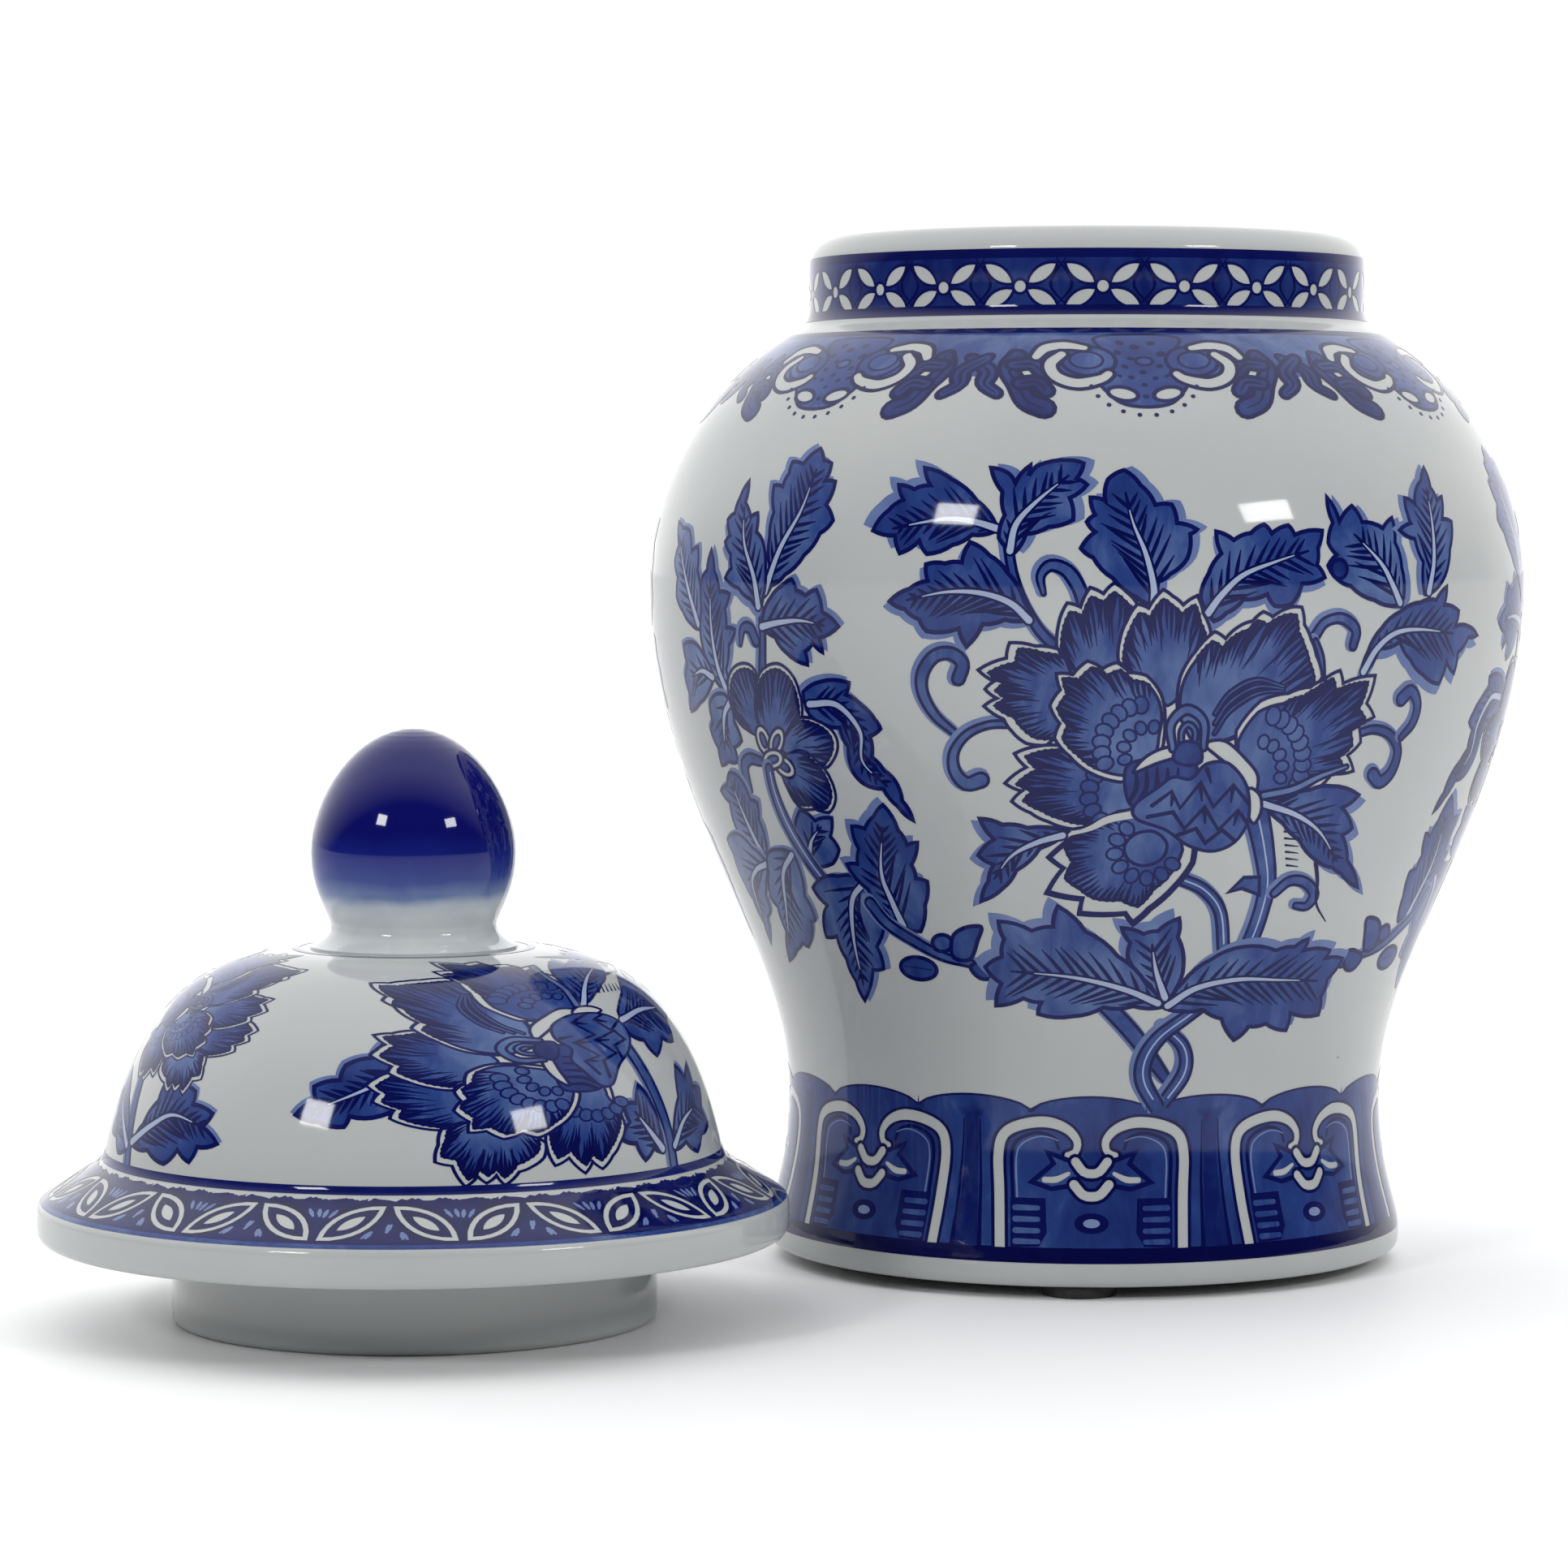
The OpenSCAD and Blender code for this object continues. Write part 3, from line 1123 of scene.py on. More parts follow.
            faces = flat_index.reshape(-1, 3)
            tone = np.zeros(len(used))
            for number in np.unique(owner[mine]):
                _, shape, turned = placed[number]
                corners = np.unique(faces[owner[mine] == number])
                strength = np.full(len(corners), shape.tone)
                if shape.glow:
                    a, s, reach, weak = shape.glow
                    here = angle_s[used[corners]]
                    beside = (here[:, 0] - a - turned) * self.surface.radius(here[:, 1])
                    share = np.clip(np.hypot(beside, here[:, 1] - s) / reach, 0, 1)**1.3
                    strength = weak + (shape.tone - weak) * share
                tone[corners] = strength
            result[ink] = (angle_s[used], faces, tone)
        return result


def stepped(path: np.ndarray, longest: float = 2.2) -> np.ndarray:
    """Cut a closed outline's long edges into short ones, so that they follow a round surface.

    Args:
        path: the outline.
        longest: longest edge to leave.

    Returns:
        The outline with points added along its edges.
    """
    after = np.roll(path, -1, 0)
    counts = np.maximum(1, np.ceil(np.hypot(*(after - path).T) / longest).astype(int))
    return np.array([a + (b - a) * i / n for a, b, n in zip(path, after, counts) for i in range(n)])


def reach_to(edge: np.ndarray, start: np.ndarray, way: np.ndarray) -> float:
    """How far a ray runs before it meets a closed outline.

    Args:
        edge: the outline.
        start: where the ray starts.
        way: its direction, a unit vector.

    Returns:
        The distance, or 0 if it meets nothing.
    """
    a = edge - start
    b = np.roll(edge, -1, 0) - edge
    cross = way[0] * b[:, 1] - way[1] * b[:, 0]
    cross = np.where(np.abs(cross) < 1e-9, 1e-9, cross)
    t = (a[:, 0] * b[:, 1] - a[:, 1] * b[:, 0]) / cross
    u = (a[:, 0] * way[1] - a[:, 1] * way[0]) / cross
    hits = t[(t > 0) & (u >= 0) & (u <= 1)]
    return float(hits.min()) if len(hits) else 0.0


def wound(path: np.ndarray, points: np.ndarray) -> np.ndarray:
    """Which points a closed path winds round.

    Args:
        path: the closed path, which may cross itself.
        points: the points to test.

    Returns:
        True for each point inside.
    """
    a, b = path, np.roll(path, -1, 0)
    x, y = points[:, 0, None], points[:, 1, None]
    left = (b[:, 0] - a[:, 0]) * (y - a[:, 1]) - (x - a[:, 0]) * (b[:, 1] - a[:, 1])
    up = (a[:, 1] <= y) & (b[:, 1] > y) & (left > 0)
    down = (a[:, 1] > y) & (b[:, 1] <= y) & (left < 0)
    return (up.sum(1) - down.sum(1)) != 0


@dataclass
class Palette:
    """The pigments' materials, shared by every painted sheet."""

    fringe: bpy.types.Material
    wash: bpy.types.Material
    line: bpy.types.Material

    def of(self, ink: Ink) -> bpy.types.Material:
        """The material of an ink."""
        return {Ink.FRINGE: self.fringe, Ink.WASH: self.wash, Ink.LINE: self.line}[ink]


def paint(drawing: Drawing, prefix: str, palette: Palette, body: str, slot: str, proud: float = 0.05 * MM) -> None:
    """Lay a drawing on its surface, repeat it round the axis and give it to its body.

    Args:
        drawing: the tile.
        prefix: start of the pieces' names.
        palette: the pigments.
        body: the CAD body.
        slot: the record's material slot.
        proud: how far the pigment stands off the glaze, in metres.
    """
    surface = drawing.surface
    for ink, (angle_s, faces, tone) in drawing.cut().items():
        points, normals = surface.place(angle_s[:, 0], angle_s[:, 1], proud)
        corner = points[faces]
        facing = np.cross(corner[:, 1] - corner[:, 0], corner[:, 2] - corner[:, 0])
        inward = (facing * normals[faces].mean(1)).sum(1) < 0
        faces[inward] = faces[inward][:, ::-1]
        mesh = bpy.data.meshes.new(prefix + "_tile")
        mesh.from_pydata(points.tolist(), [], faces.tolist())
        mesh.attributes.new("tone", "FLOAT", "POINT").data.foreach_set("value", tone.astype(np.float32))
        piece = REPEAT.apply(f"{prefix}_{ink.value}", mesh, Copies=drawing.copies,
                             Centre=(surface.centre[0], surface.centre[1], 0.0), Material=palette.of(ink))
        made = piece.data
        made.shade_smooth()
        where = np.empty(len(made.vertices) * 3, np.float32)
        made.vertices.foreach_get("co", where)
        made.normals_split_custom_set_from_vertices(surface.directions(where.reshape(-1, 3).astype(float)).tolist())
        settle(piece, body, slot)


# ---------------------------------------------------------------------------------------------------------------
# Motifs
# ---------------------------------------------------------------------------------------------------------------


def peony(d: Drawing, hanging: bool = True) -> None:
    """Draw the large peony bloom, petals first and the faceted calyx last.

    Args:
        d: the drawing.
        hanging: whether the bloom has its hanging petal and the leaf beside it.
    """
    d.petal([(-8.6, -20), (-10.6, -14), (-10.4, -7.4), (-8.8, -3.6), (-6.2, -4.4), (-4.4, -0.6), (-1.8, -1.8),
             (0.3, 0.3), (2.6, -1.4), (4.8, -3.8), (3.6, -8), (1.6, -14), (0, -22)], (-0.5, -27), 1.9)
    d.petal([(1.2, -15), (1.4, -11), (2.8, -7), (4.8, -3.8), (7, -4.6), (9.8, -1), (11.6, -2.2), (13.8, -4),
             (16.6, -2.2), (17.8, -5.6), (19.4, -9.4), (16.5, -14), (13.4, -21), (10.5, -22), (6, -18)], (11, -26), 1.9)
    d.petal([(13, -25), (13.4, -18), (16.4, -13), (20.2, -9.2), (22.4, -10.6), (25.2, -8.2), (28, -7.2),
             (30.2, -5.4), (32.2, -6.4), (36, -4.6), (38.6, -4.6), (39.2, -8), (40.8, -11), (42, -14), (43.6, -18.4),
             (38, -24), (28, -29), (18, -32)], (16, -32), 2.0, reach=30)
    d.petal([(-10.4, -12.6), (-15, -12), (-20, -11.4), (-20.6, -14.4), (-26.2, -16.8), (-23, -19), (-24.8, -20.6),
             (-22.4, -22.4), (-25, -24), (-21, -26.6), (-19.4, -29), (-16.6, -31.4), (-12.5, -31.8), (-8, -26)],
            (-3, -23), 2.2)
    d.petal([(-9, -32), (-14, -32), (-18.8, -33.6), (-16.4, -36.4), (-20.6, -39.8), (-17.2, -41.4), (-19.2, -43.6),
             (-15.4, -46), (-12, -47.8), (-7, -49.4), (0, -47), (6, -46), (9, -42), (5, -38), (-3, -34)], (8, -41), 2.4)
    d.beads((3.5, -42), 7.6, 110, 245, 8, 1.7)
    d.petal([(10.5, -26), (9.6, -21.4), (6.8, -17.8), (3.4, -17.2), (0.9, -15.2), (-1.8, -16.4), (-4.8, -14.9),
             (-7.6, -17.6), (-10.8, -17.4), (-10, -20.6), (-12, -23.8), (-10, -27.4), (-11, -30.4), (-8, -34),
             (-4, -37.4), (2, -39.4), (9, -37)], (8, -31.5), 1.7, reach=22)
    d.beads((6.5, -32), 8.4, 95, 205, 8, 1.7)
    d.beads((7.5, -33), 5.0, 80, 200, 5, 1.3)
    d.petal([(30, -23), (36, -21.6), (41, -20.4), (44, -19), (47.8, -17.2), (48.6, -19.8), (56.8, -18.4),
             (54.8, -24), (57, -26.8), (52.8, -28), (53.8, -32), (50.6, -34.6), (52.4, -38), (47, -38.4),
             (43.6, -41.4), (37, -43), (31, -43), (26, -36), (25, -29)], (27, -39), 2.3, 0.78, 0.4, reach=26)
    d.beads((31, -36), 8.8, -28, 78, 9, 1.9, 1.15)
    d.beads((30, -37), 5.2, -20, 80, 5, 1.4, 1.1)
    for lift in (0.0, 2.0, 4.0):
        d.stem([(20.5, -29.5 + lift), (23.5, -25 + lift * 0.9), (29, -21.6 + lift * 0.7), (35, -21 + lift * 0.2)],
               (0.9, 1.2, 0.5), 0.5, False)
    if hanging:
        d.leaf([(-8, -50), (-16, -49.2), (-21, -48.6), (-25.6, -47.4), (-22.6, -51.8), (-25.8, -55.4), (-22.6, -57.4),
                (-23.6, -61), (-25, -65.6), (-20.6, -62.6), (-18, -58.6), (-13.4, -53.6)],
               [(-9, -50.8), (-14, -52.4), (-19, -55.4), (-22.4, -60.5)], 0.66, (-0.9, -0.5))
        d.fill(grown(bulged([(-5.6, -50), (-11.8, -55.6), (-8.8, -58), (-12, -63.6), (-4.8, -65), (-5.4, -68.2),
                             (3.8, -68.2), (5.4, -70.6), (8.8, -67.2), (13.6, -62.4), (17.2, -57), (17.6, -51),
                             (12, -46), (2, -45.6)], 0.03), 0.4), Ink.LINE)
        d.fill(bulged([(-5.0, -50.6), (-10.8, -55.6), (-8.0, -57.8), (-11, -62.9), (-4.2, -64.2), (-4.7, -67.4),
                       (4.1, -67.4), (5.4, -69.3), (8.0, -66.6), (12.9, -61.8), (16.4, -56.6), (16.6, -51.4),
                       (12, -47), (2, -46.4)], 0.03), Ink.BARE)
        d.petal([(-4.6, -49.4), (-8.4, -53.4), (-6.8, -56.6), (-8.2, -60.2), (-5.4, -62.4), (-2.4, -64.6), (2.8, -64.9),
                 (6.3, -66.4), (9.2, -62.6), (12.8, -58.8), (14.8, -54), (13, -49), (6, -46.8), (-1, -47.6)],
                (7.5, -53), 0.0, 0.74, 0.3, 0.30, 17)
        d.beads((7.5, -54), 6.2, 130, 330, 8, 1.6)
        d.outlined([(3.2, -53), (5.4, -50.4), (9, -50), (11.6, -52.6), (10.6, -56), (7, -57.4), (4, -56)], 0.3, 0.7)
        d.stroke(curved([(-7.5, -50.6), (-3.5, -49.2), (0, -47.3), (5, -46.2)]), (0.5, 1.5, 1.7), Ink.BARE)
    d.leaf([(31, -43.6), (36, -43.4), (42, -41.6), (47, -41), (54.4, -43.2), (50.2, -45.8), (53.4, -50.4),
            (50.8, -51.8), (52.9, -57.6), (56.8, -63.9), (51.4, -60.4), (49, -59), (44.6, -57.2), (40, -52.4),
            (36, -48.6)], [(31.5, -44.4), (39, -47), (45, -51), (50, -57.6)], 0.68, (1.0, -0.9))
    d.stroke(curved([(44.6, -57.8), (45.4, -62), (45.6, -67), (48.6, -71.3)]), (1.1, 0.8, 0.3), Ink.LINE)
    for k in range(6):
        d.stroke([(36.5 + 0.2 * k, -50.5 - 1.5 * k), (39.8 + 0.1 * k, -50.9 - 1.5 * k)], (0.5, 0.2), Ink.LINE)
    d.stem([(31.4, -42.6), (38, -41.4), (44, -38.9), (50.6, -37)], (2.0, 1.9, 1.1), 0.05, False)
    calyx(d)


def calyx(d: Drawing) -> None:
    """Draw the peony's scaly calyx, with its two white sepals and its looped pistil.

    Args:
        d: the drawing to add to.
    """
    d.outlined([(3, -36.6), (7, -34.6), (13, -34), (17, -36), (16, -40), (9, -45), (4, -44)], 0.75, 0.7)
    for x in range(5):
        d.stroke(curved([(4 + 2 * x, -43.4 + 0.4 * x), (5.2 + 2 * x, -40.5), (5 + 2.1 * x, -36.6)]),
                 (0.9, 1.1, 0.5), Ink.LINE)
    d.outlined([(4.6, -37.4), (6.4, -34.6), (10, -32.5), (14.6, -32), (13.4, -34), (9, -35.6)], 0, 0.7, Ink.BARE)
    d.outlined([(18.6, -31.6), (22.6, -31), (27, -34.6), (30, -38.6), (29, -42.8), (25.4, -37.6), (21, -34)],
               0, 0.7, Ink.BARE)
    d.outlined([(28.2, -41), (30.6, -42.6), (31, -46), (29.4, -48.6), (27.6, -45)], 0, 0.7, Ink.BARE)
    d.outlined([(9.4, -40.6), (12.4, -38.4), (16, -38.8), (19, -35.8), (23.4, -35.6), (27.2, -39.6), (28.4, -44.4),
                (27.9, -49), (25.2, -52.8), (20.8, -54.4), (15.8, -53), (11.2, -49.6), (5.4, -47.2), (5, -44.2)],
               0.42, 0.72)
    for scales in ([(8.4, -44.4), (12.2, -41.4), (14, -45), (18, -39.6), (20.8, -44.8), (24.8, -40.2), (28.2, -44.2)],
                   [(7.6, -46.8), (12.6, -45.8), (15, -49.4), (19, -44.8), (22, -49.8), (26, -45.6), (28, -48.4)],
                   [(13.4, -50.9), (17.4, -49.4), (19.4, -52.6), (22.8, -49.8), (25.6, -52.2)]):
        d.stroke(scales, (0.9, 1.3, 0.9), Ink.LINE)
    for start, end in (((18, -40.6), (18.4, -43.6)), ((24.7, -41.2), (24.4, -44)), ((12.5, -42.4), (12.2, -44.6)),
                       ((19, -45.8), (19.2, -48.4)), ((25.8, -46.6), (25.2, -49)), ((19.2, -36.8), (20.2, -39.8))):
        d.stroke([start, end], (1.0, 0.8, 0.4), Ink.LINE)
    d.stem([(12.2, -32.6), (11.7, -27.6), (14.8, -24.6), (18.2, -27), (18.4, -32.4)], (1.6, 2.3, 1.6), 0.3, False)
    d.stem([(13.9, -32.2), (13.9, -29), (15.2, -27.6), (16.6, -29), (16.4, -32.2)], (1.2, 1.5, 1.2), 0.35, False)
    d.outlined([(12.4, -34.8), (13.2, -31.8), (15.4, -31), (17.6, -32), (18, -35.2), (15.2, -36)], 0.85, 0.7)


def peony_foliage(d: Drawing) -> None:
    """Draw the leaves, scrolls and crossed stems that carry the peony.

    Args:
        d: the drawing to add to.
    """
    d.stem([(-11.4, -11.8), (-14.4, -8.6), (-17.6, -3), (-19.6, 3), (-20.6, 10)], (2.2, 2.0, 1.9, 2.0))
    d.leaf([(-48.5, 10.4), (-45, 14.5), (-41.8, 16.6), (-42.8, 19.7), (-39.5, 18.8), (-36, 19.6), (-37.2, 23.3),
            (-31.5, 20.8), (-26.5, 16.5), (-22.6, 11.4), (-23.2, 10.2), (-27.5, 9.6), (-31.5, 7.6), (-36.8, 5.8),
            (-38.4, 8.4), (-42.6, 5.9), (-43.6, 9.4)],
           [(-22.6, 10.9), (-27, 12.2), (-32, 12.8), (-38, 12), (-44, 10.8)], 0.72, (-1.1, 0.9))
    d.leaf([(-22.2, 9), (-21, 13.5), (-21.4, 18.2), (-23.6, 23.3), (-20.2, 22.2), (-18.8, 20.1), (-15.8, 23.8),
            (-16.6, 20.6), (-14.4, 23.7), (-8.3, 24.9), (-5.4, 24.2), (-6.8, 21), (-4.8, 19.7), (-8.2, 17),
            (-7.6, 12.6), (-12.4, 11.2), (-16.8, 9.8), (-19.2, 6)],
           [(-20, 6.5), (-18.8, 11.6), (-15, 16), (-8.4, 21.6)], 0.62, (1.2, 0.3))
    d.leaf([(-44.8, -3.5), (-40.5, -1), (-36.6, 0.6), (-37, 3.8), (-33, 4), (-29.6, 4.2), (-27.9, 8.2), (-24, 5.6),
            (-20.4, 2.2), (-17.2, -3.2), (-15.6, -6.8), (-21, -6.9), (-25.4, -7.8), (-28.6, -12.2), (-30.2, -8.7),
            (-36.8, -9.3), (-38.4, -7), (-41.5, -5)],
           [(-16.2, -7), (-20, -3.6), (-26, -1.7), (-33, -1.6), (-41, -3.2)], 0.66, (-0.6, -0.7))
    d.leaf([(2.4, 22.8), (-0.8, 20.8), (-1.4, 16.5), (-4.2, 17.1), (-3.4, 13.6), (-5, 12.2), (-3.4, 10.2),
            (-6.2, 7), (-3.8, 5.2), (0, 1.2), (4.5, -2.4), (7.6, -4), (8.8, 0.5), (11.2, 2), (14.6, 5), (15.2, 9.8),
            (16.6, 10.7), (12.6, 12), (11.6, 15.7), (8.4, 15.6), (5.6, 19.6)],
           [(8, -4), (7.9, 0), (6.4, 6), (4, 12), (2.6, 18)], 0.64, (1.0, 0.3))
    d.leaf([(17.2, -2.6), (18.8, 2), (21.4, 6), (20.4, 10.3), (24, 8.6), (27.6, 10), (30.4, 11.7), (32, 9.9),
            (35.6, 11.5), (37, 9.6), (43.3, 10.4), (42.2, 7), (42, 3.6), (43.8, 1.2), (38.6, 0), (36.4, -3.9),
            (32.6, -4.3), (31, -2), (26, -3), (22.5, -5.6), (20, -7.2)],
           [(18.8, -5.6), (21.6, -2), (26, 1.8), (33, 4.4), (40, 6.4)], 0.6, (-0.2, -0.9))
    d.leaf([(44.6, 17.2), (47.4, 12.2), (50.6, 15.4), (53, 12.1), (58.4, 10.8), (61, 12.9), (61.6, 8), (63.4, 3),
            (64, -3), (62, -4.6), (56, -3.4), (50, -0.6), (46.5, 1), (44.5, 3.5), (46.6, 5.6), (44.6, 8),
            (45.8, 12)], [(63, -4), (60.6, 0), (57.6, 4), (51, 9.6)], 0.52, (1.0, -0.2))
    d.outlined(ellipse((47.2, 2.8), 1.9, 1.9), 0.9, 0.8)
    d.leaf([(72.2, 23.4), (70.6, 20.6), (68.6, 18.6), (68, 15.8), (65, 17), (65.6, 13.6), (66.4, 11.8), (63, 10.4),
            (67.4, 8.6), (69.8, 4), (70.2, -2.4), (72.4, -2.2), (77, 1.2), (78.8, 6.4), (80, 12), (76.6, 12.6),
            (77.2, 17.2), (75.4, 16.4), (73.6, 19.2)],
           [(71.6, -2), (73.2, 4), (73.2, 11), (72.2, 19)], 0.6, (-1.0, 0.2))
    d.leaf([(53, -18.6), (54.6, -13.6), (58, -9), (63, -5.8), (69, -4), (74, -3.6), (77.6, -1), (76.8, -4.6),
            (82.2, -6), (81, -9), (86.6, -9.2), (90.2, -11), (86.4, -11.3), (82.4, -14.4), (81.4, -18.6),
            (78.4, -16.2), (76, -20.6), (70.6, -18.6), (66.4, -15.4), (63.2, -11.8), (57.6, -13)],
           [(53.6, -17.6), (57, -13), (62, -10), (69, -9.4), (80, -10.4)], 0.6, (-0.6, -1.2))
    d.stem([(-13.4, -1.8), (-14, 1.6), (-12, 3.7), (-8.8, 2.6), (-6.6, -0.6), (-5.6, -3.6)], (1.0, 2.2, 2.8, 2.6))
    d.stem([(-30.2, -18.6), (-29.4, -15.6), (-31.8, -13.6), (-35.2, -14.2), (-37.6, -17.5), (-37.6, -21.5),
            (-35, -26), (-30.8, -29.6)], (2.8, 2.7, 2.7, 2.2, 1.6))
    d.stem([(-19.4, -27.6), (-24, -27.8), (-28.4, -29.8), (-31, -33.5), (-30.8, -37.4), (-28.4, -40), (-25.4, -39.2)],
           (1.7, 1.7, 2.0, 2.6, 3.4))
    d.stem([(50.8, -12.4), (51.4, -9.2), (48, -6.9), (44, -7.6), (41.6, -10.4)], (2.0, 2.4, 2.0, 2.2))
    d.stem([(43.6, -18.6), (43.2, -14.6), (41.8, -11.2)], (1.5, 1.5, 1.2))
    d.stem([(52, -30.4), (57, -29.4), (61.6, -30.6), (64.4, -34), (63.2, -38.4), (60, -40.6), (57.8, -39)],
           (1.7, 2.0, 2.3, 2.6, 3.2))
    d.stem([(65, -31.4), (68.4, -28.4), (69.4, -24.6), (67.2, -21.8), (64.4, -23.4)], (1.6, 2.2, 2.6, 3.0))
    d.stem([(14.6, -60.4), (19.6, -63), (23.2, -68), (24.4, -77)], (2.6, 2.7, 2.7))
    d.stem([(30, -46), (32, -54), (33.2, -62), (31.8, -70), (29.4, -77)], (5.4, 4.4, 3.6, 3.6), 0.5)
    d.outlined([(24.8, -63.6), (28, -60.4), (31.4, -60.4), (31.6, -64.4), (27.6, -62.8)], 0.55, 0.8, smooth=False)
    d.stem([(35, -64.2), (38.4, -61.6), (42.2, -62), (44.8, -64.8), (43.2, -67.4), (40.4, -67.2)],
           (2.0, 2.4, 2.6, 1.6))
    d.stem([(-1.6, -86.4), (2.6, -90.8), (6.2, -95), (9.4, -99.4), (13, -104.4)], (3.2, 3.4, 3.4, 3.0, 2.2))
    d.stem([(12.4, -93.6), (16.6, -98), (16.8, -103.4), (12.2, -110)], (2.4, 2.8, 3.0, 2.6))
    d.stem([(22.6, -87.4), (16.4, -91.8), (11.4, -95.8), (8.6, -100.4), (8.4, -105), (11.2, -110.2)],
           (2.4, 2.8, 3.0, 3.3, 3.4, 3.2))
    d.leaf([(12.6, -88), (9.2, -84), (4.6, -78), (5, -74.6), (3.2, -71.2), (7.6, -72.6), (10.4, -72), (14.7, -69.2),
            (14.6, -73.4), (16, -80), (14.6, -85)], [(12.4, -87), (10.4, -81), (9.4, -75)], 0.55, (-1, 1.2))
    d.leaf([(12.2, -89), (8.6, -84), (2.6, -77.6), (-4, -72), (-9.6, -66.4), (-10.4, -71), (-14.6, -72),
            (-21.4, -70), (-20.2, -74), (-20.6, -78), (-24, -80.4), (-20.6, -84), (-21.6, -89), (-16, -87.2),
            (-12.4, -88), (-13, -90.6), (-6, -91), (0, -89), (6, -88.8)],
           [(11, -88.2), (4, -85), (-6, -82.4), (-18.5, -81.2)], 0.58, (-1.2, 1.0), 2.6)
    d.leaf([(12.6, -89.4), (16, -83.6), (21.8, -78.6), (28.6, -76), (36.4, -77.2), (41, -76.6), (44.4, -75),
            (43.4, -77.6), (50.8, -78), (49.6, -79.8), (55, -80.2), (51, -84.6), (49.6, -88.6), (49.4, -92.6),
            (41.2, -91.6), (40.4, -95.4), (35, -93.6), (31, -94), (27.6, -96.8), (24.6, -92), (20.4, -89.8),
            (16, -90)], [(13, -88.8), (19, -85), (28, -83.4), (38, -84), (48, -84.8)], 0.55, (0.8, 1.0), 2.6)


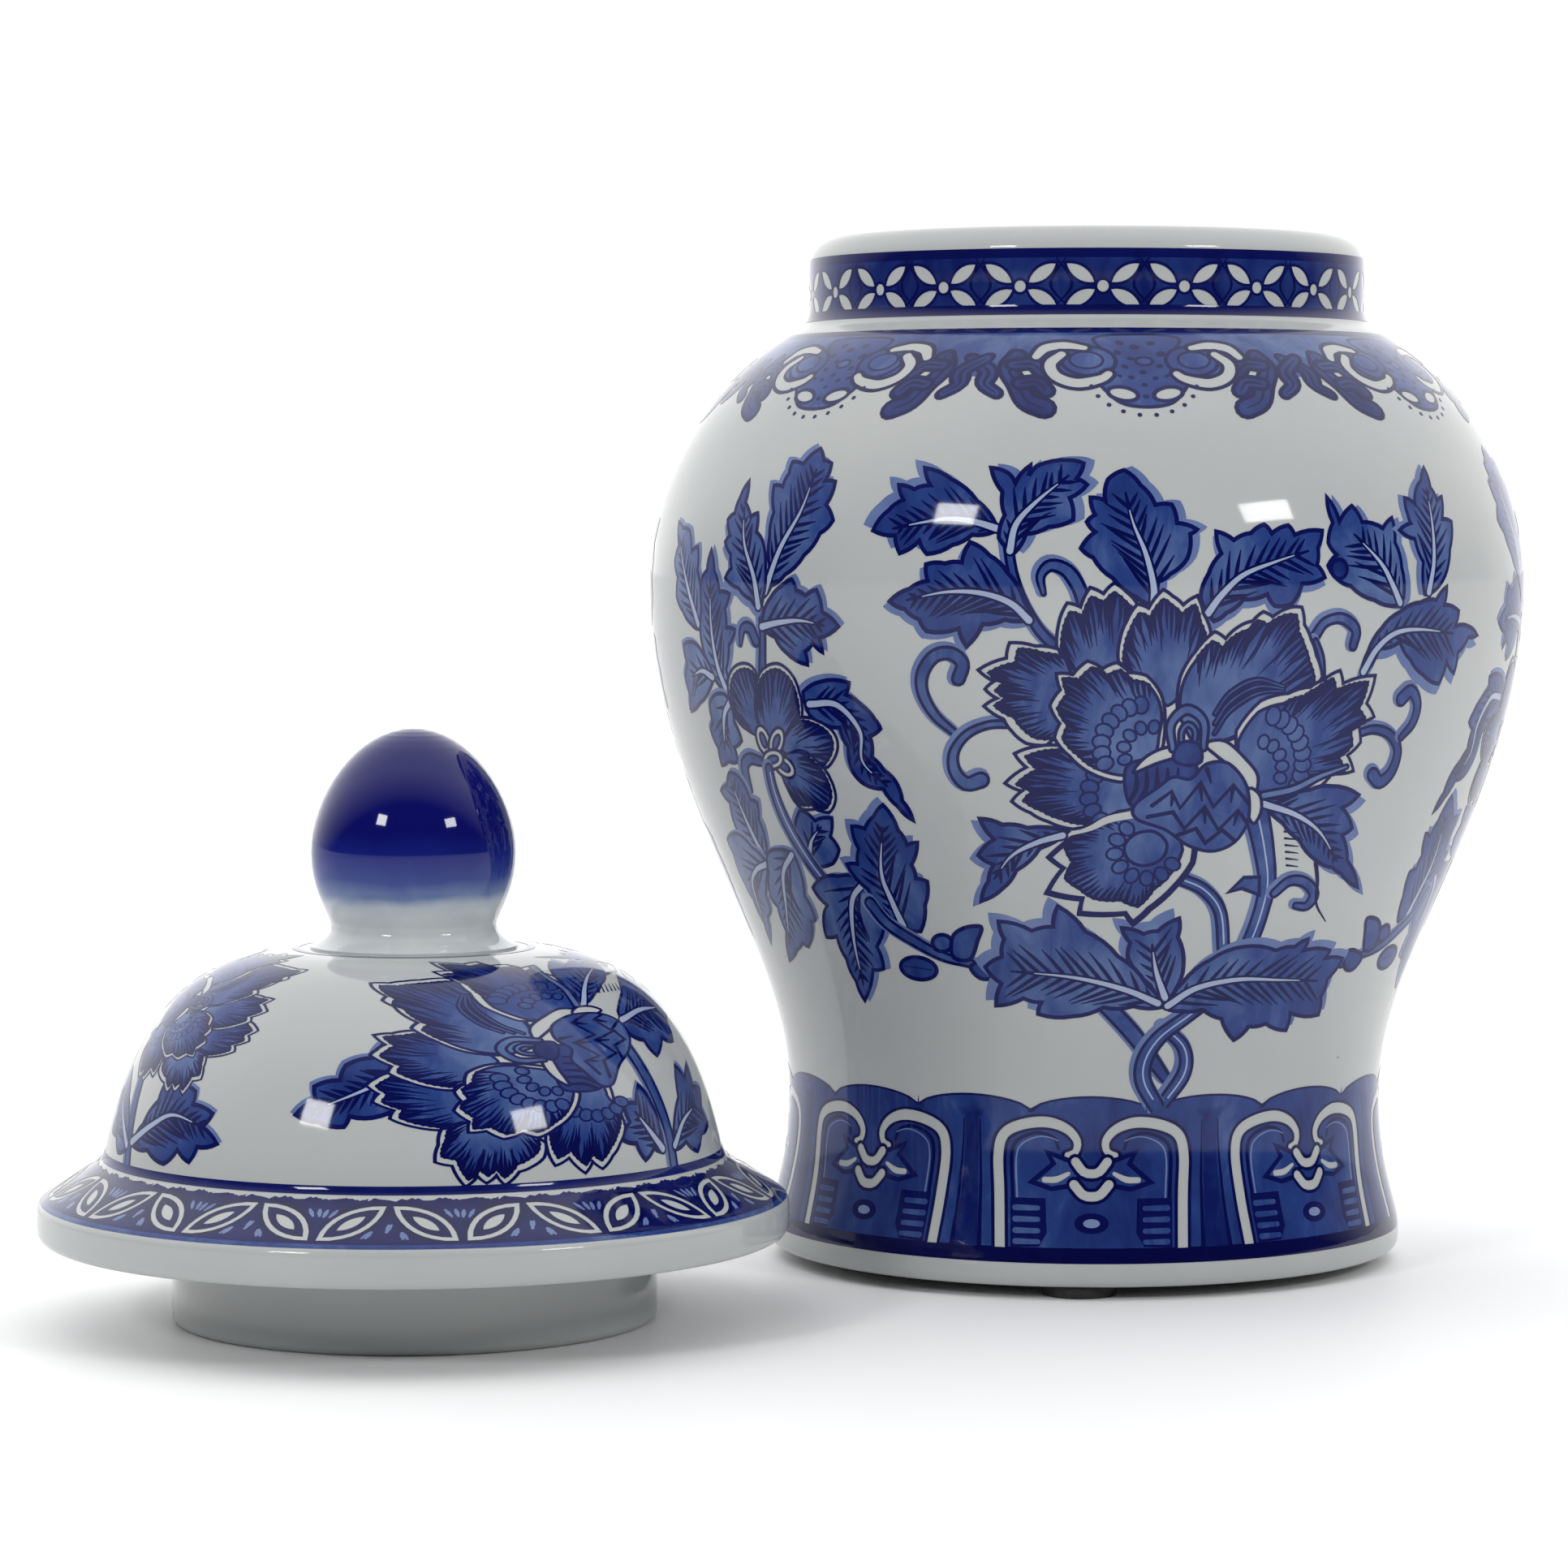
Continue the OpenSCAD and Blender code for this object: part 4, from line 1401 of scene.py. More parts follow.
def camellia_spray(d: Drawing) -> None:
    """Draw the camellia, its leaves, its long ragged bract and the stem that ties it to the peony.

    Args:
        d: the drawing to add to.
    """
    d.stem([(-77.4, -4), (-76.6, -9.5), (-77, -19)], (1.6, 1.9, 2.2))
    d.leaf([(-61.6, 27.6), (-60.6, 25), (-58.6, 24.3), (-60, 20.6), (-57.5, 20.4), (-59.6, 15.6), (-57.8, 12.4),
            (-61, 9.8), (-65, 5.4), (-70, 1.5), (-74, -0.8), (-76, -3), (-74.4, 3), (-74.6, 9), (-73.6, 14),
            (-74, 19.6), (-71.4, 19.4), (-69.8, 22.2), (-69, 24.7), (-66, 24.2)],
           [(-75.8, -2), (-71.6, 6.5), (-66, 14.5), (-62.4, 23)], 0.58, (-0.6, 0.5))
    d.leaf([(-82, 20.5), (-82.6, 16), (-80.6, 13), (-78.4, 13.8), (-78.6, 10), (-76.5, 8), (-75.6, 3), (-76.4, -3.4),
            (-77.5, -5.6), (-80, -3.6), (-84, -1.4), (-88.6, 0.6), (-86.4, 2.6), (-86.8, 5.4), (-88.9, 7.8),
            (-87.2, 9.2), (-88.4, 12.4), (-86, 13.8), (-84.6, 17)],
           [(-77.8, -5), (-79.2, 1), (-82.4, 8), (-82.8, 15)], 0.58, (-0.3, -0.9))
    d.leaf([(-56.4, -8.6), (-60.4, -5.8), (-61.8, -1.4), (-64.6, -2.6), (-67, -1.6), (-68.2, 0.6), (-71, -0.8),
            (-74, -3), (-76.4, -6.6), (-76.5, -9.2), (-73, -11), (-70, -14), (-64.2, -16.4), (-64.8, -13.8),
            (-62.8, -12), (-60.4, -13.8), (-61.2, -11)],
           [(-76.8, -9), (-72, -8.1), (-66, -7.6), (-60, -8.5)], 0.6, (0.6, 0.5))
    d.leaf([(-111, 11.8), (-108, 10.6), (-104, 10), (-102.6, 5.8), (-99.6, 6.8), (-99.6, 2), (-98, -4), (-99.5, -10),
            (-103, -9), (-107, -6.5), (-110.4, -3.6), (-109.6, 0.4), (-111.6, 3.6), (-109.6, 7)],
           [(-99.6, -9), (-103.6, -2.6), (-107, 3.6), (-109.5, 9)], 0.5, (0.6, 0.4))
    d.leaf([(-94, 6.2), (-92.6, 2), (-90.6, -2.2), (-87, -2.6), (-88.8, -5.6), (-88.4, -9.4), (-85.2, -9.8),
            (-87.6, -13), (-89, -18), (-88, -24), (-92, -21.5), (-95, -18), (-98.6, -12), (-98, -6), (-97.6, 0.5),
            (-95.6, 2)], [(-88.6, -23.6), (-92.4, -17), (-94.2, -9), (-94.2, 0)], 0.55, (0.8, 0.3))
    d.leaf([(-107.4, -13.4), (-102, -12.8), (-98, -15), (-94, -19.5), (-96.2, -22.5), (-101.2, -25.4),
            (-106.6, -27.4), (-106, -24), (-107.8, -20), (-106, -17.5)],
           [(-94.5, -19.8), (-99, -18.6), (-104, -20)], 0.5, (-0.4, 0.4))
    d.leaf([(-96.6, -25.4), (-94, -23.4), (-90, -23.2), (-88, -25), (-87.2, -29), (-85, -32.8), (-88, -34.4),
            (-87.2, -37.5), (-91, -37.6), (-94.2, -38.6), (-94.6, -35), (-97.4, -31), (-96, -29.4)],
           [(-88.6, -25), (-91, -28), (-92, -35)], 0.5, (-0.2, 0.5))
    d.stem([(-78.6, -12), (-80.4, -9.4), (-82.8, -9.6), (-83.6, -12.8)], (2.4, 2.4, 0.9))
    d.stem([(-79, -37), (-82.6, -36.6), (-84.8, -38.6), (-83.4, -43.6)], (2.2, 3.0, 1.4))
    d.leaf([(-65.6, -22), (-61, -19.7), (-54, -19.8), (-54.8, -22.2), (-51, -24.4), (-48, -27.2), (-46.8, -29),
            (-49.2, -30.6), (-48.8, -35), (-46, -37.8), (-43.6, -39.7), (-42, -44), (-39.6, -48.2), (-43, -45.3),
            (-46.2, -41.6), (-50.6, -40.8), (-53.4, -38.2), (-54.4, -33), (-56.4, -29), (-60, -28.6), (-64, -26.6)],
           [(-64, -24.4), (-57, -24.4), (-51.6, -29.6), (-51, -36), (-45.4, -41)], 0.78, (-0.6, 0.6), 2.0)
    d.leaf([(-91.5, -40.2), (-93, -43), (-96.6, -44.4), (-93, -46.8), (-92.4, -52), (-88, -55.6), (-80.6, -59.6),
            (-80, -54), (-81.6, -50), (-81.4, -46.2), (-84, -45.6), (-86.6, -41.4), (-89.4, -40)],
           [(-81, -59), (-84.6, -54), (-88.6, -47), (-90.8, -42)], 0.5, (0.5, 0.5))
    d.leaf([(-98.6, -55.8), (-92, -53.8), (-86, -56.6), (-80.5, -60), (-82.4, -64.6), (-83.6, -67.6), (-82.6, -71.4),
            (-84.8, -72.8), (-86.2, -79), (-87.6, -74.6), (-91, -69.2), (-94, -65.6), (-96.2, -62), (-96.6, -59)],
           [(-81, -60.2), (-86, -62), (-89.4, -66), (-87, -75)], 0.5, (0.4, 0.4))
    d.leaf([(-71, -57), (-76, -56.4), (-80, -57.6), (-80.6, -62), (-81.4, -68), (-79, -70), (-77, -75.6),
            (-77.8, -82.6), (-73.4, -79.6), (-71, -77.8), (-69, -78.6), (-67.2, -75.4), (-67, -72.6), (-65.6, -72),
            (-68.4, -66.6), (-69.4, -60)], [(-71.4, -57.4), (-75, -62), (-75.6, -70), (-76.4, -79)], 0.52, (0.4, 0.4))
    d.leaf([(-67.6, -47), (-63.6, -49.2), (-59, -48.4), (-59.6, -52.6), (-57.4, -55.4), (-59.2, -58.6),
            (-64, -59.6), (-68, -56), (-69.8, -51.5)], [(-66, -59), (-65, -54), (-62, -50.6)], 0.6, (-0.5, 0.4))
    for petal, base in (
            ([(-78.6, -31), (-84.5, -29.6), (-88, -25.5), (-88.6, -20.5), (-86, -17.4), (-82, -16.6), (-79, -18.2),
              (-77.4, -23), (-77, -29)], (-77, -33)),
            ([(-79.6, -27), (-78.6, -20), (-76, -17.2), (-72, -16.4), (-68.4, -18.6), (-66.6, -22), (-66, -27),
              (-69.5, -31), (-76, -32)], (-75, -34)),
            ([(-71, -32), (-67, -27.4), (-62, -27.8), (-58, -30), (-57, -33.4), (-59.6, -37.4), (-64, -37.6),
              (-69, -36)], (-74, -34.6)),
            ([(-72.5, -37), (-66.6, -34.2), (-61.5, -37), (-59, -40), (-57.8, -44), (-59.6, -47.2), (-63.4, -46.6),
              (-67, -46.8), (-70.4, -43.5)], (-75, -36))):
        d.petal(curved(petal, True, 2.6), base, 1.3, 0.66, 0.3, 0.5, 15)
    for centre, tilt in (((-77.6, -32.4), 115), ((-73.6, -32.6), 60), ((-71.6, -37.8), -28), ((-75, -36.4), 10)):
        d.outlined(ellipse(centre, 3.3, 2.1, tilt), 0, 0.7, Ink.BARE)
        d.outlined(ellipse(centre, 1.7, 0.8, tilt), 0.4, 0.6)
    d.stem([(-76.4, -38.4), (-75.4, -43), (-72.8, -49), (-68.8, -55), (-63.4, -61.4), (-59, -65)],
           (2.4, 2.8, 2.8, 2.6))
    d.leaf([(-65.6, -64.6), (-62.4, -62), (-58, -61.4), (-52, -61.4), (-49.4, -66), (-46.6, -72), (-48.6, -77),
            (-47, -82), (-49.8, -82.4), (-52.4, -89.6), (-54.6, -85.4), (-57, -80.6), (-59.4, -75.4), (-62.6, -75.8),
            (-63, -71), (-61.6, -68.4)], [(-51.6, -62.8), (-54.6, -67), (-54.6, -76), (-52.6, -86)], 0.62, (0.9, 0.3))
    d.leaf([(-46.4, -45), (-48.6, -47.6), (-50.8, -50.4), (-54, -50), (-52.4, -55), (-52.8, -58.4), (-55.6, -58.6),
            (-50.4, -64), (-46, -69), (-41.6, -72.4), (-38, -73), (-37, -67), (-36.5, -61.6), (-39, -61),
            (-40, -58), (-38.7, -53), (-41, -53.6), (-43, -50.4)],
           [(-42, -72), (-44.6, -66.5), (-47, -60), (-46.6, -50)], 0.66, (-0.9, 0.8))
    d.stem([(-50, -67), (-46, -71.4), (-40, -75), (-33, -78.4), (-27, -79.8), (-20.4, -81.6)], (2.6, 2.4, 2.0, 1.6))
    d.outlined(ellipse((-38.6, -81.4), 4.2, 2.5, -6), 0.6, 0.9)
    d.stroke([(-42, -81), (-35.4, -81.6)], (0.2, 0.8, 0.2), Ink.LINE)
    d.outlined(ellipse((-33.2, -75.4), 2.2, 1.9), 0.5, 0.9)
    d.outlined([(-30.8, -78.4), (-31, -74), (-28.6, -71.8), (-25, -71.4), (-25.6, -74.4), (-27.2, -78.8)], 0.55, 0.9)
    d.outlined([(-27, -80.4), (-23, -78.4), (-20.6, -79.4), (-22, -82.6), (-25, -83)], 0.6, 0.9)


# ---------------------------------------------------------------------------------------------------------------
# Sub-assemblies
# ---------------------------------------------------------------------------------------------------------------


@dataclass
class Jar:
    """The jar body: glazed porcelain and its four painted bands."""

    palette: Palette
    glaze: bpy.types.Material
    node: str = "jar_body"
    body: str = "jar"
    slot: str = "jar_porcelain"
    belly_z: float = 0.144
    segments: int = 208

    def __post_init__(self) -> None:
        """Read the CAD outline and keep its outside as the surface to paint on."""
        self.outline = smoothed(outline_of(self.node, (0.0, 0.0)))
        crest = int(self.outline[:, 1].argmax())
        self.surface = Surface(self.outline, (0.0, 0.0), self.belly_z)
        self.surface.span = (-150.0, float(self.surface.along[crest]) - 1.0)

    def build(self) -> None:
        """Make the porcelain and paint it."""
        shell = turned_piece("jar_glaze", self.outline, (0.0, 0.0), self.glaze, self.segments)
        settle(shell, self.body, self.slot, self.node)
        for prefix, drawing in (("jar_flowers", self.flowers()), ("jar_shoulder", self.shoulder()),
                                ("jar_neck", self.neck()), ("jar_foot", self.foot())):
            paint(drawing, prefix, self.palette, self.body, self.slot)

    def flowers(self) -> Drawing:
        """The belly: two peonies, each between two mirrored camellia sprays."""
        d = Drawing(self.surface, 2, -76.0, -112.0, 34.0)
        camellia_spray(d)
        d.mirror = 14.1
        camellia_spray(d)
        d.mirror = None
        peony_foliage(d)
        peony(d)
        return d

    def shoulder(self) -> Drawing:
        """The shoulder: seven cloud heads hung from a dark line, with pendants between them."""
        d = Drawing(self.surface, 7, -20.4, 30.0, 63.0, 2.6)
        d.meridian = 5.3
        wash = [(-36, 60), (-36, 46.5), (-33, 45), (-29, 47.6), (-25, 46), (-21, 47), (-16, 45), (-9, 43),
                (-7, 40), (-4, 37.6), (0, 37), (4, 37.6), (7, 40), (9, 43), (16, 45), (21, 47), (25, 46),
                (29, 47.6), (33, 45), (36, 46.5), (36, 60)]
        d.fill(curved(wash[1:-1]).tolist() + [(36, 60), (-36, 60)], Ink.WASH, 0.40)
        for side in (-1, 1):
            for lobe, widths in (([(24.2, 51), (26.4, 47), (25, 42.6), (23.6, 38.6), (20.4, 36.8)], (3, 3.4, 3.6, 4.0)),
                                 ([(25.4, 48.2), (21.6, 48.4), (19.8, 46.2)], (2.4, 2.6, 2.8)),
                                 ([(24.6, 43), (21.2, 43.4), (19.6, 41.2)], (2.4, 2.6, 2.8)),
                                 ([(33.4, 50), (30.6, 46.4), (31.8, 43), (29.6, 40.6)], (2.6, 3.2, 2.6, 2.0))):
                line = curved([(side * x, y) for x, y in lobe])
                d.stroke(line, [w + 1.5 for w in widths], Ink.LINE)
                d.stroke(line, [w - 0.5 for w in widths], Ink.WASH, 0.78)
                d.stroke(line, (0.3, 0.8, 0.3), Ink.LINE)
        d.outlined([(-8.8, 44), (-7, 40), (-4.4, 37.7), (0, 37), (4.4, 37.7), (7, 40), (8.8, 44), (6, 50), (8, 57),
                    (-8, 57), (-6, 50)], 0.5, 0.8)
        for side in (-1, 1):
            d.outlined(ellipse((side * 10.4, 49.4), 5.4, 4.4), 0.46, 0.9)
            d.outlined(ellipse((side * 10.8, 49.6), 3.3, 2.5), 0.36, 0.6)
            for lobe, widths in (([(20.6, 50.6), (18.4, 53.3), (14.5, 54.2), (10.8, 53.4)], (1.5, 2.2, 2.2, 1.4)),
                                 ([(15.4, 51.4), (18, 48.4), (17.2, 45), (13.3, 43.1), (8.5, 44.2), (6.8, 45.6)],
                                  (1.6, 2.2, 2.3, 2.2, 1.5))):
                line = curved([(side * x, y) for x, y in lobe])
                d.stroke(line, [w + 1.9 for w in widths], Ink.LINE)
                d.stroke(line, [w + 0.1 for w in widths], Ink.BARE)
            d.outlined(ellipse((side * 4.5, 40.3), 3.0, 1.7, side * 14), 0, 0.9, Ink.BARE)
            for k in range(5):
                a = math.radians(-90 + side * (9 + 18 * k))
                d.fill(ellipse((10.6 * math.cos(a), 43.6 + 8.6 * math.sin(a)), 0.5, 0.5, 0, 8), Ink.LINE)
        for x, y, size in ((-3.6, 55, 1.0), (-0.8, 53.6, 1.1), (2.6, 54.8, 1.0), (-4.4, 51.8, 0.9), (4.2, 51.4, 1.1),
                           (-2, 50, 0.8), (-3.4, 47.6, 0.8), (3.6, 47.8, 0.8), (0, 46, 0.8), (-2.4, 44.6, 0.7),
                           (2.4, 44.4, 0.7), (0, 42.6, 0.7), (-4.6, 45, 0.6), (4.7, 45, 0.6), (0, 39.6, 0.7)):
            d.fill(ellipse((x, y), size, size * 0.8, x * 9, 8), Ink.LINE)
        d.outlined(ellipse((0.6, 49.2), 1.7, 1.2), 0.3, 0.7)
        d.band(40, 58.6, 60.6, Ink.LINE)
        return d

    def neck(self) -> Drawing:
        """The neck: four-petalled flowers on a blue ground between two dark lines."""
        d = Drawing(self.surface, 22, -8.2, 63.0, 82.0, 2.2)
        d.band(12, 66, 78.6, Ink.WASH, 0.86)
        for side in (-1, 1):
            for height, tilt in ((73.9, 34), (69.0, -29)):
                petal = lens((side * 4.5, height), 6.6, 2.5, side * tilt)
                d.fill(grown(petal, 0.6), Ink.LINE)
                d.fill(petal, Ink.BARE)
            d.stroke(curved([(side * 9.4, 77.2), (side * 6.2, 71.8), (side * 9.4, 67.4)]), (0.3, 0.7, 0.3), Ink.LINE)
        d.fill(ellipse((0, 71.3), 1.75, 1.75), Ink.LINE)
        d.fill(ellipse((0, 71.3), 1.15, 1.15), Ink.BARE)
        for low, high in ((65.4, 67.6), (77.0, 78.9)):
            d.band(12, low, high, Ink.LINE)
        return d

    def foot(self) -> Drawing:
        """The foot: scallops, eight lappets with hooked white frames, and a dark base line."""
        d = Drawing(self.surface, 8, -24.3, -144.0, -106.0, 2.6)
        d.meridian = -1.8
        scallops = [(-36, -139), (-36.8, -110)]
        for left in (-36.8, -12.3, 12.3):
            scallops += [(left + 24.5 * t, -110.6 + 2.7 * (4 * t * (1 - t))**0.7) for t in np.linspace(0, 1, 13)]
        scallops += [(37, -139)]
        d.fill(scallops, Ink.LINE)
        d.fill(grown(np.array(scallops), -0.45), Ink.WASH, 0.60)
        for side in (-1, 1):
            d.fill([(side * 23.4, -139), (side * 23.2, -112), (side * 26, -112), (side * 26, -139)], Ink.WASH, 0.95)
            d.stroke([(side * 23.0, -139), (side * 22.6, -125), (side * 22.8, -113)], (1.0, 0.6, 0.3), Ink.LINE)
            frame_line = curved([(18.6, -139.4), (18.7, -128), (18.9, -120), (17.7, -115.9), (14, -113.9),
                                 (9, -113.3), (5, -114.6), (2.9, -117), (3.2, -119.2), (4.8, -119.9)])
            mirrored = frame_line * (side, 1)
            d.stroke(mirrored, (3.5, 3.5, 3.4, 3.2, 2.6), Ink.LINE)
            d.stroke(mirrored, (2.1, 2.1, 2.1, 2.2, 1.2), Ink.BARE)
            inner = curved([(15.7, -139), (15.9, -128), (16.1, -120), (14.8, -117), (11, -115.5), (7.6, -116.4),
                            (6.6, -118.6)])
            d.stroke(inner * (side, 1), (0.8, 0.8, 0.7), Ink.LINE)
            d.stroke((inner * (side, 1))[4:-3] - (side * 0.9, 0.7), (0.3, 0.4, 0.2), Ink.FRINGE)
            wing = [(3.2, -121.4), (5.6, -120.6), (8.8, -119.4), (7.6, -121.6), (12, -125.4), (8, -126.7), (4, -126),
                    (2.2, -124)]
            d.outlined([(side * x, y) for x, y in wing], 0.45, 1.0, smooth=False)
            vein = curved([(side * 4.6, -123.6), (side * 7, -124.8), (side * 9.4, -124.9)])
            d.stroke(vein, (0.8, 1.3, 1.2), Ink.BARE)
            ladder = [(16.4, -128.6), (9.2, -128.6), (9, -135.6), (10.6, -138.4), (16.4, -138.6)]
            d.fill([(side * x, y) for x, y in ladder], Ink.LINE)
            for y in (-130.6, -132.9, -135.2, -137.4):
                d.stroke([(side * 10.8, y), (side * 15.4, y)], (1.0, 1.3, 1.2), Ink.WASH, 0.42)
        for middle, half, size in ((-123.6, 3.2, 1.9), (-128.2, 3.5, 2.0)):
            smile = curved([(-half, middle + 2.4), (-half * 0.5, middle + 0.4), (0, middle), (half * 0.5, middle + 0.4),
                            (half, middle + 2.4)])
            d.stroke(smile, size + 1.3, Ink.LINE)
            d.stroke(smile, size - 0.1, Ink.BARE)
        d.fill(ellipse((0, -133.6), 3.5, 2.1), Ink.LINE)
        d.fill(ellipse((0, -133.6), 1.7, 0.9), Ink.FRINGE)
        d.band(40, -141.7, -138.7, Ink.LINE, 1.0)
        return d


@dataclass
class Lid:
    """The lid: its porcelain shell with painted dome and flange, and its cobalt knob."""

    palette: Palette
    glaze: bpy.types.Material
    biscuit_and_shade: bpy.types.Material
    shell_node: str = "lid_shell"
    knob_node: str = "lid_knob"
    body: str = "lid"
    slot: str = "lid_porcelain"
    dome_foot_z: float = 0.033
    biscuit_and_shade_below: float = 0.0158
    knob_white: float = 0.0075
    knob_blue: float = 0.0235

    def __post_init__(self) -> None:
        """Find the axis, read the outlines and keep the shell's outside as the surface to paint on."""
        low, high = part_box(self.shell_node)
        self.centre = (float(low.x + high.x) / 2, float(low.y + high.y) / 2)
        self.outline = smoothed(outline_of(self.shell_node, self.centre))
        self.knob_outline = smoothed(outline_of(self.knob_node, self.centre))
        if self.outline[0, 1] > self.outline[-1, 1]:
            self.outline = self.outline[::-1]
        outside = self.outline[int(self.outline[:, 0].argmax()):]
        self.surface = Surface(outside, self.centre, self.dome_foot_z)

    def build(self) -> None:
        """Make the shell and the knob, and paint the shell."""
        shell = turned_piece("lid_glaze", self.outline, self.centre, self.glaze)
        shell.data.materials.append(self.biscuit_and_shade)
        # Every face below this height takes the darker collar finish. That finish paints in the shade under the flange
        # as well as the bare foot.
        for face in shell.data.polygons:
            if face.center.z < self.biscuit_and_shade_below:
                face.material_index = 1
        settle(shell, self.body, self.slot, self.shell_node)
        neck_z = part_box(self.knob_node)[0].z
        knob = turned_piece("knob_glaze", self.knob_outline, self.centre,
                            KnobGlaze(neck_z + self.knob_white, neck_z + self.knob_blue).material())
        settle(knob, self.body, "knob_cobalt", self.knob_node)
        for prefix, drawing in (("lid_flowers", self.flowers()), ("lid_flange", self.flange()),
                                ("lid_ring", self.ring())):
            paint(drawing, prefix, self.palette, self.body, self.slot)

    def flowers(self) -> Drawing:
        """The dome: peonies lying over on their sides, each on a stem from the flange."""
        d = Drawing(self.surface, 2, -118.0, 0.5, 62.0, 2.8)
        d.stem([(62, 0), (60.5, 8), (56, 17), (49, 26), (42, 31)], (2.6, 2.6, 2.4, 2.2))
        d.leaf([(58.6, 4), (57.6, 9), (56, 13), (52, 17.4), (51, 14), (47.6, 14), (49, 10.6), (46.6, 7.6),
                (50.6, 6.4), (53, 3), (55.6, 5)], [(58.4, 4.6), (55, 8), (50.6, 12.4)], 0.7, (-0.4, 0.4), 1.9)
        d.leaf([(62.4, 4), (63, 9), (66, 13.6), (67, 19.6), (70.6, 16.6), (74, 19), (74.6, 14.6), (79.6, 13.6),
                (77, 10), (80, 6.6), (75, 5.6), (72, 2.6), (67, 5)], [(62.6, 4.8), (67, 9), (74, 11.4)], 0.66,
               (0.4, 0.4), 1.9)
        d.leaf([(49, 33), (53, 37), (57, 41.5), (60, 38.6), (65, 41), (66, 37), (71.6, 37.6), (70.6, 33.6),
                (77, 31), (71, 28.6), (70, 24.4), (64, 25.6), (60, 22.4), (56, 26), (51, 28)],
               [(49.6, 31), (58, 32.4), (70, 31.6)], 0.7, (0.4, 0.4), 1.9)
        d.leaf([(12, 32), (4, 30), (-2, 28.5), (-4, 25.6), (-9, 24), (-10, 21), (-15, 19.6), (-14.5, 17),
                (-18.5, 14), (-14, 12.8), (-9, 12), (-8, 14), (-2, 14.2), (2, 16.6), (8, 18), (13, 24)],
               [(12, 28), (3, 23.4), (-6, 18.8), (-16, 14.6)], 0.72, (-0.4, 0.4), 1.9)
        d.stem([(-64, 0), (-64.5, 10), (-63, 20), (-59, 31)], (2.6, 2.6, 2.4, 2.2))
        d.leaf([(-63, 5), (-59, 9), (-54, 14), (-51.6, 18.5), (-47.5, 21.5), (-46.6, 18), (-42, 17), (-42.5, 14.5),
                (-37, 13.2), (-39.5, 10.5), (-35.5, 7.6), (-40.6, 6.6), (-42.6, 3.6), (-46, 5.6), (-50, 2.6),
                (-56, 4.6)], [(-63, 5.4), (-55, 9.5), (-48, 12), (-39, 10.4)], 0.7, (0.4, 0.4), 1.9)
        d.leaf([(-65, 4), (-66, 9), (-69, 13), (-73, 18), (-74.4, 14), (-78, 13), (-76, 9), (-78, 6), (-73, 5.6),
                (-70, 2.6)], [(-65.4, 4.6), (-69, 8), (-74.5, 13)], 0.66, (-0.4, 0.4), 1.9)
        d.meridian = 28.0
        for mirror, pose in ((None, (0.66, 84.0, -31.4, 19.8, 1.58)), (-12.8, (0.5, 84.0, -17.7, 30.3, 1.5))):
            d.mirror, d.pose = mirror, pose
            peony(d, False)
        return d

    def flange(self) -> Drawing:
        """The flange: pairs of leaning almonds on a dark ground, under a blue line at the dome's foot."""
        d = Drawing(self.surface, 16, -11.25, -17.0, 3.0, 2.4)
        d.band(20, -0.7, 1.0, Ink.LINE, 0.35)
        d.band(20, -15.3, -14.0, Ink.WASH, 0.5)
        top = [(-20 + x, -1.7 + 0.55 * math.sin(x * 1.9) * math.sin(x * 0.83)) for x in range(41)]
        d.fill(top + [(20, -14.2), (-20, -14.2)], Ink.LINE, 0.5)
        for x, y, tilt in ((-3.4, -11.4, 60), (0.0, -9.6, 84), (3.2, -11.6, 120), (-11.8, -5.6, 70),
                           (-14.6, -5.4, 110)):
            for shift in (0, 27):
                d.stroke(brushed_dash((x + shift, y), 2.2, tilt), (0.5, 0.9, 0.4), Ink.FRINGE)
        for side in (-1, 1):
            middle = (side * 6.9, -8.3)
            tilt = side * -38.0
            d.fill(lens(middle, 17.2, 7.4, tilt), Ink.LINE, 0.9)
            d.fill(lens(middle, 16.0, 6.3, tilt), Ink.BARE)
            d.fill(lens(middle, 12.8, 4.4, tilt), Ink.LINE, 0.8)
            d.fill(lens(middle, 6.6, 2.1, tilt), Ink.BARE)
        return d

    def ring(self) -> Drawing:
        """The thin blue line round the knob's foot."""
        d = Drawing(self.surface, 12, -15.0, 57.5, 62.0, 1.6)
        d.band(20, 59.2, 60.6, Ink.LINE, 0.3)
        return d


def brushed_dash(middle: Point, length: float, tilt: float) -> list[Point]:
    """A short straight stroke.

    Args:
        middle: its middle.
        length: its length.
        tilt: its direction in degrees.

    Returns:
        Three points along it.
    """
    c, s = math.cos(math.radians(tilt)) * length / 2, math.sin(math.radians(tilt)) * length / 2
    return [(middle[0] - c, middle[1] - s), middle, (middle[0] + c, middle[1] + s)]


@dataclass
class Pads:
    """The three rubber pads under the jar's foot."""

    rubber: bpy.types.Material
    body: str = "jar"
    slot: str = "pad_rubber"
    edge: float = 0.0005

    def build(self) -> None:
        """Turn each pad with a softened edge in place of its plain CAD disc."""
        for number in (1, 2, 3):
            node = f"foot_pad_{number}"
            low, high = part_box(node)
            centre = (float(low.x + high.x) / 2, float(low.y + high.y) / 2)
            radius, top = float(high.x - low.x) / 2, float(high.z)
            corner = [(radius - self.edge * (1 - math.sin(a)), self.edge * (1 - math.cos(a)))
                      for a in np.linspace(0, math.pi / 2, 6)]
            section = [(0.0, 0.0), *corner, *[(r, top - z) for r, z in reversed(corner)], (0.0, top)]
            pad = turned_piece(f"{node}_rubber", np.array(section), centre, self.rubber, 72)
            settle(pad, self.body, self.slot, node)


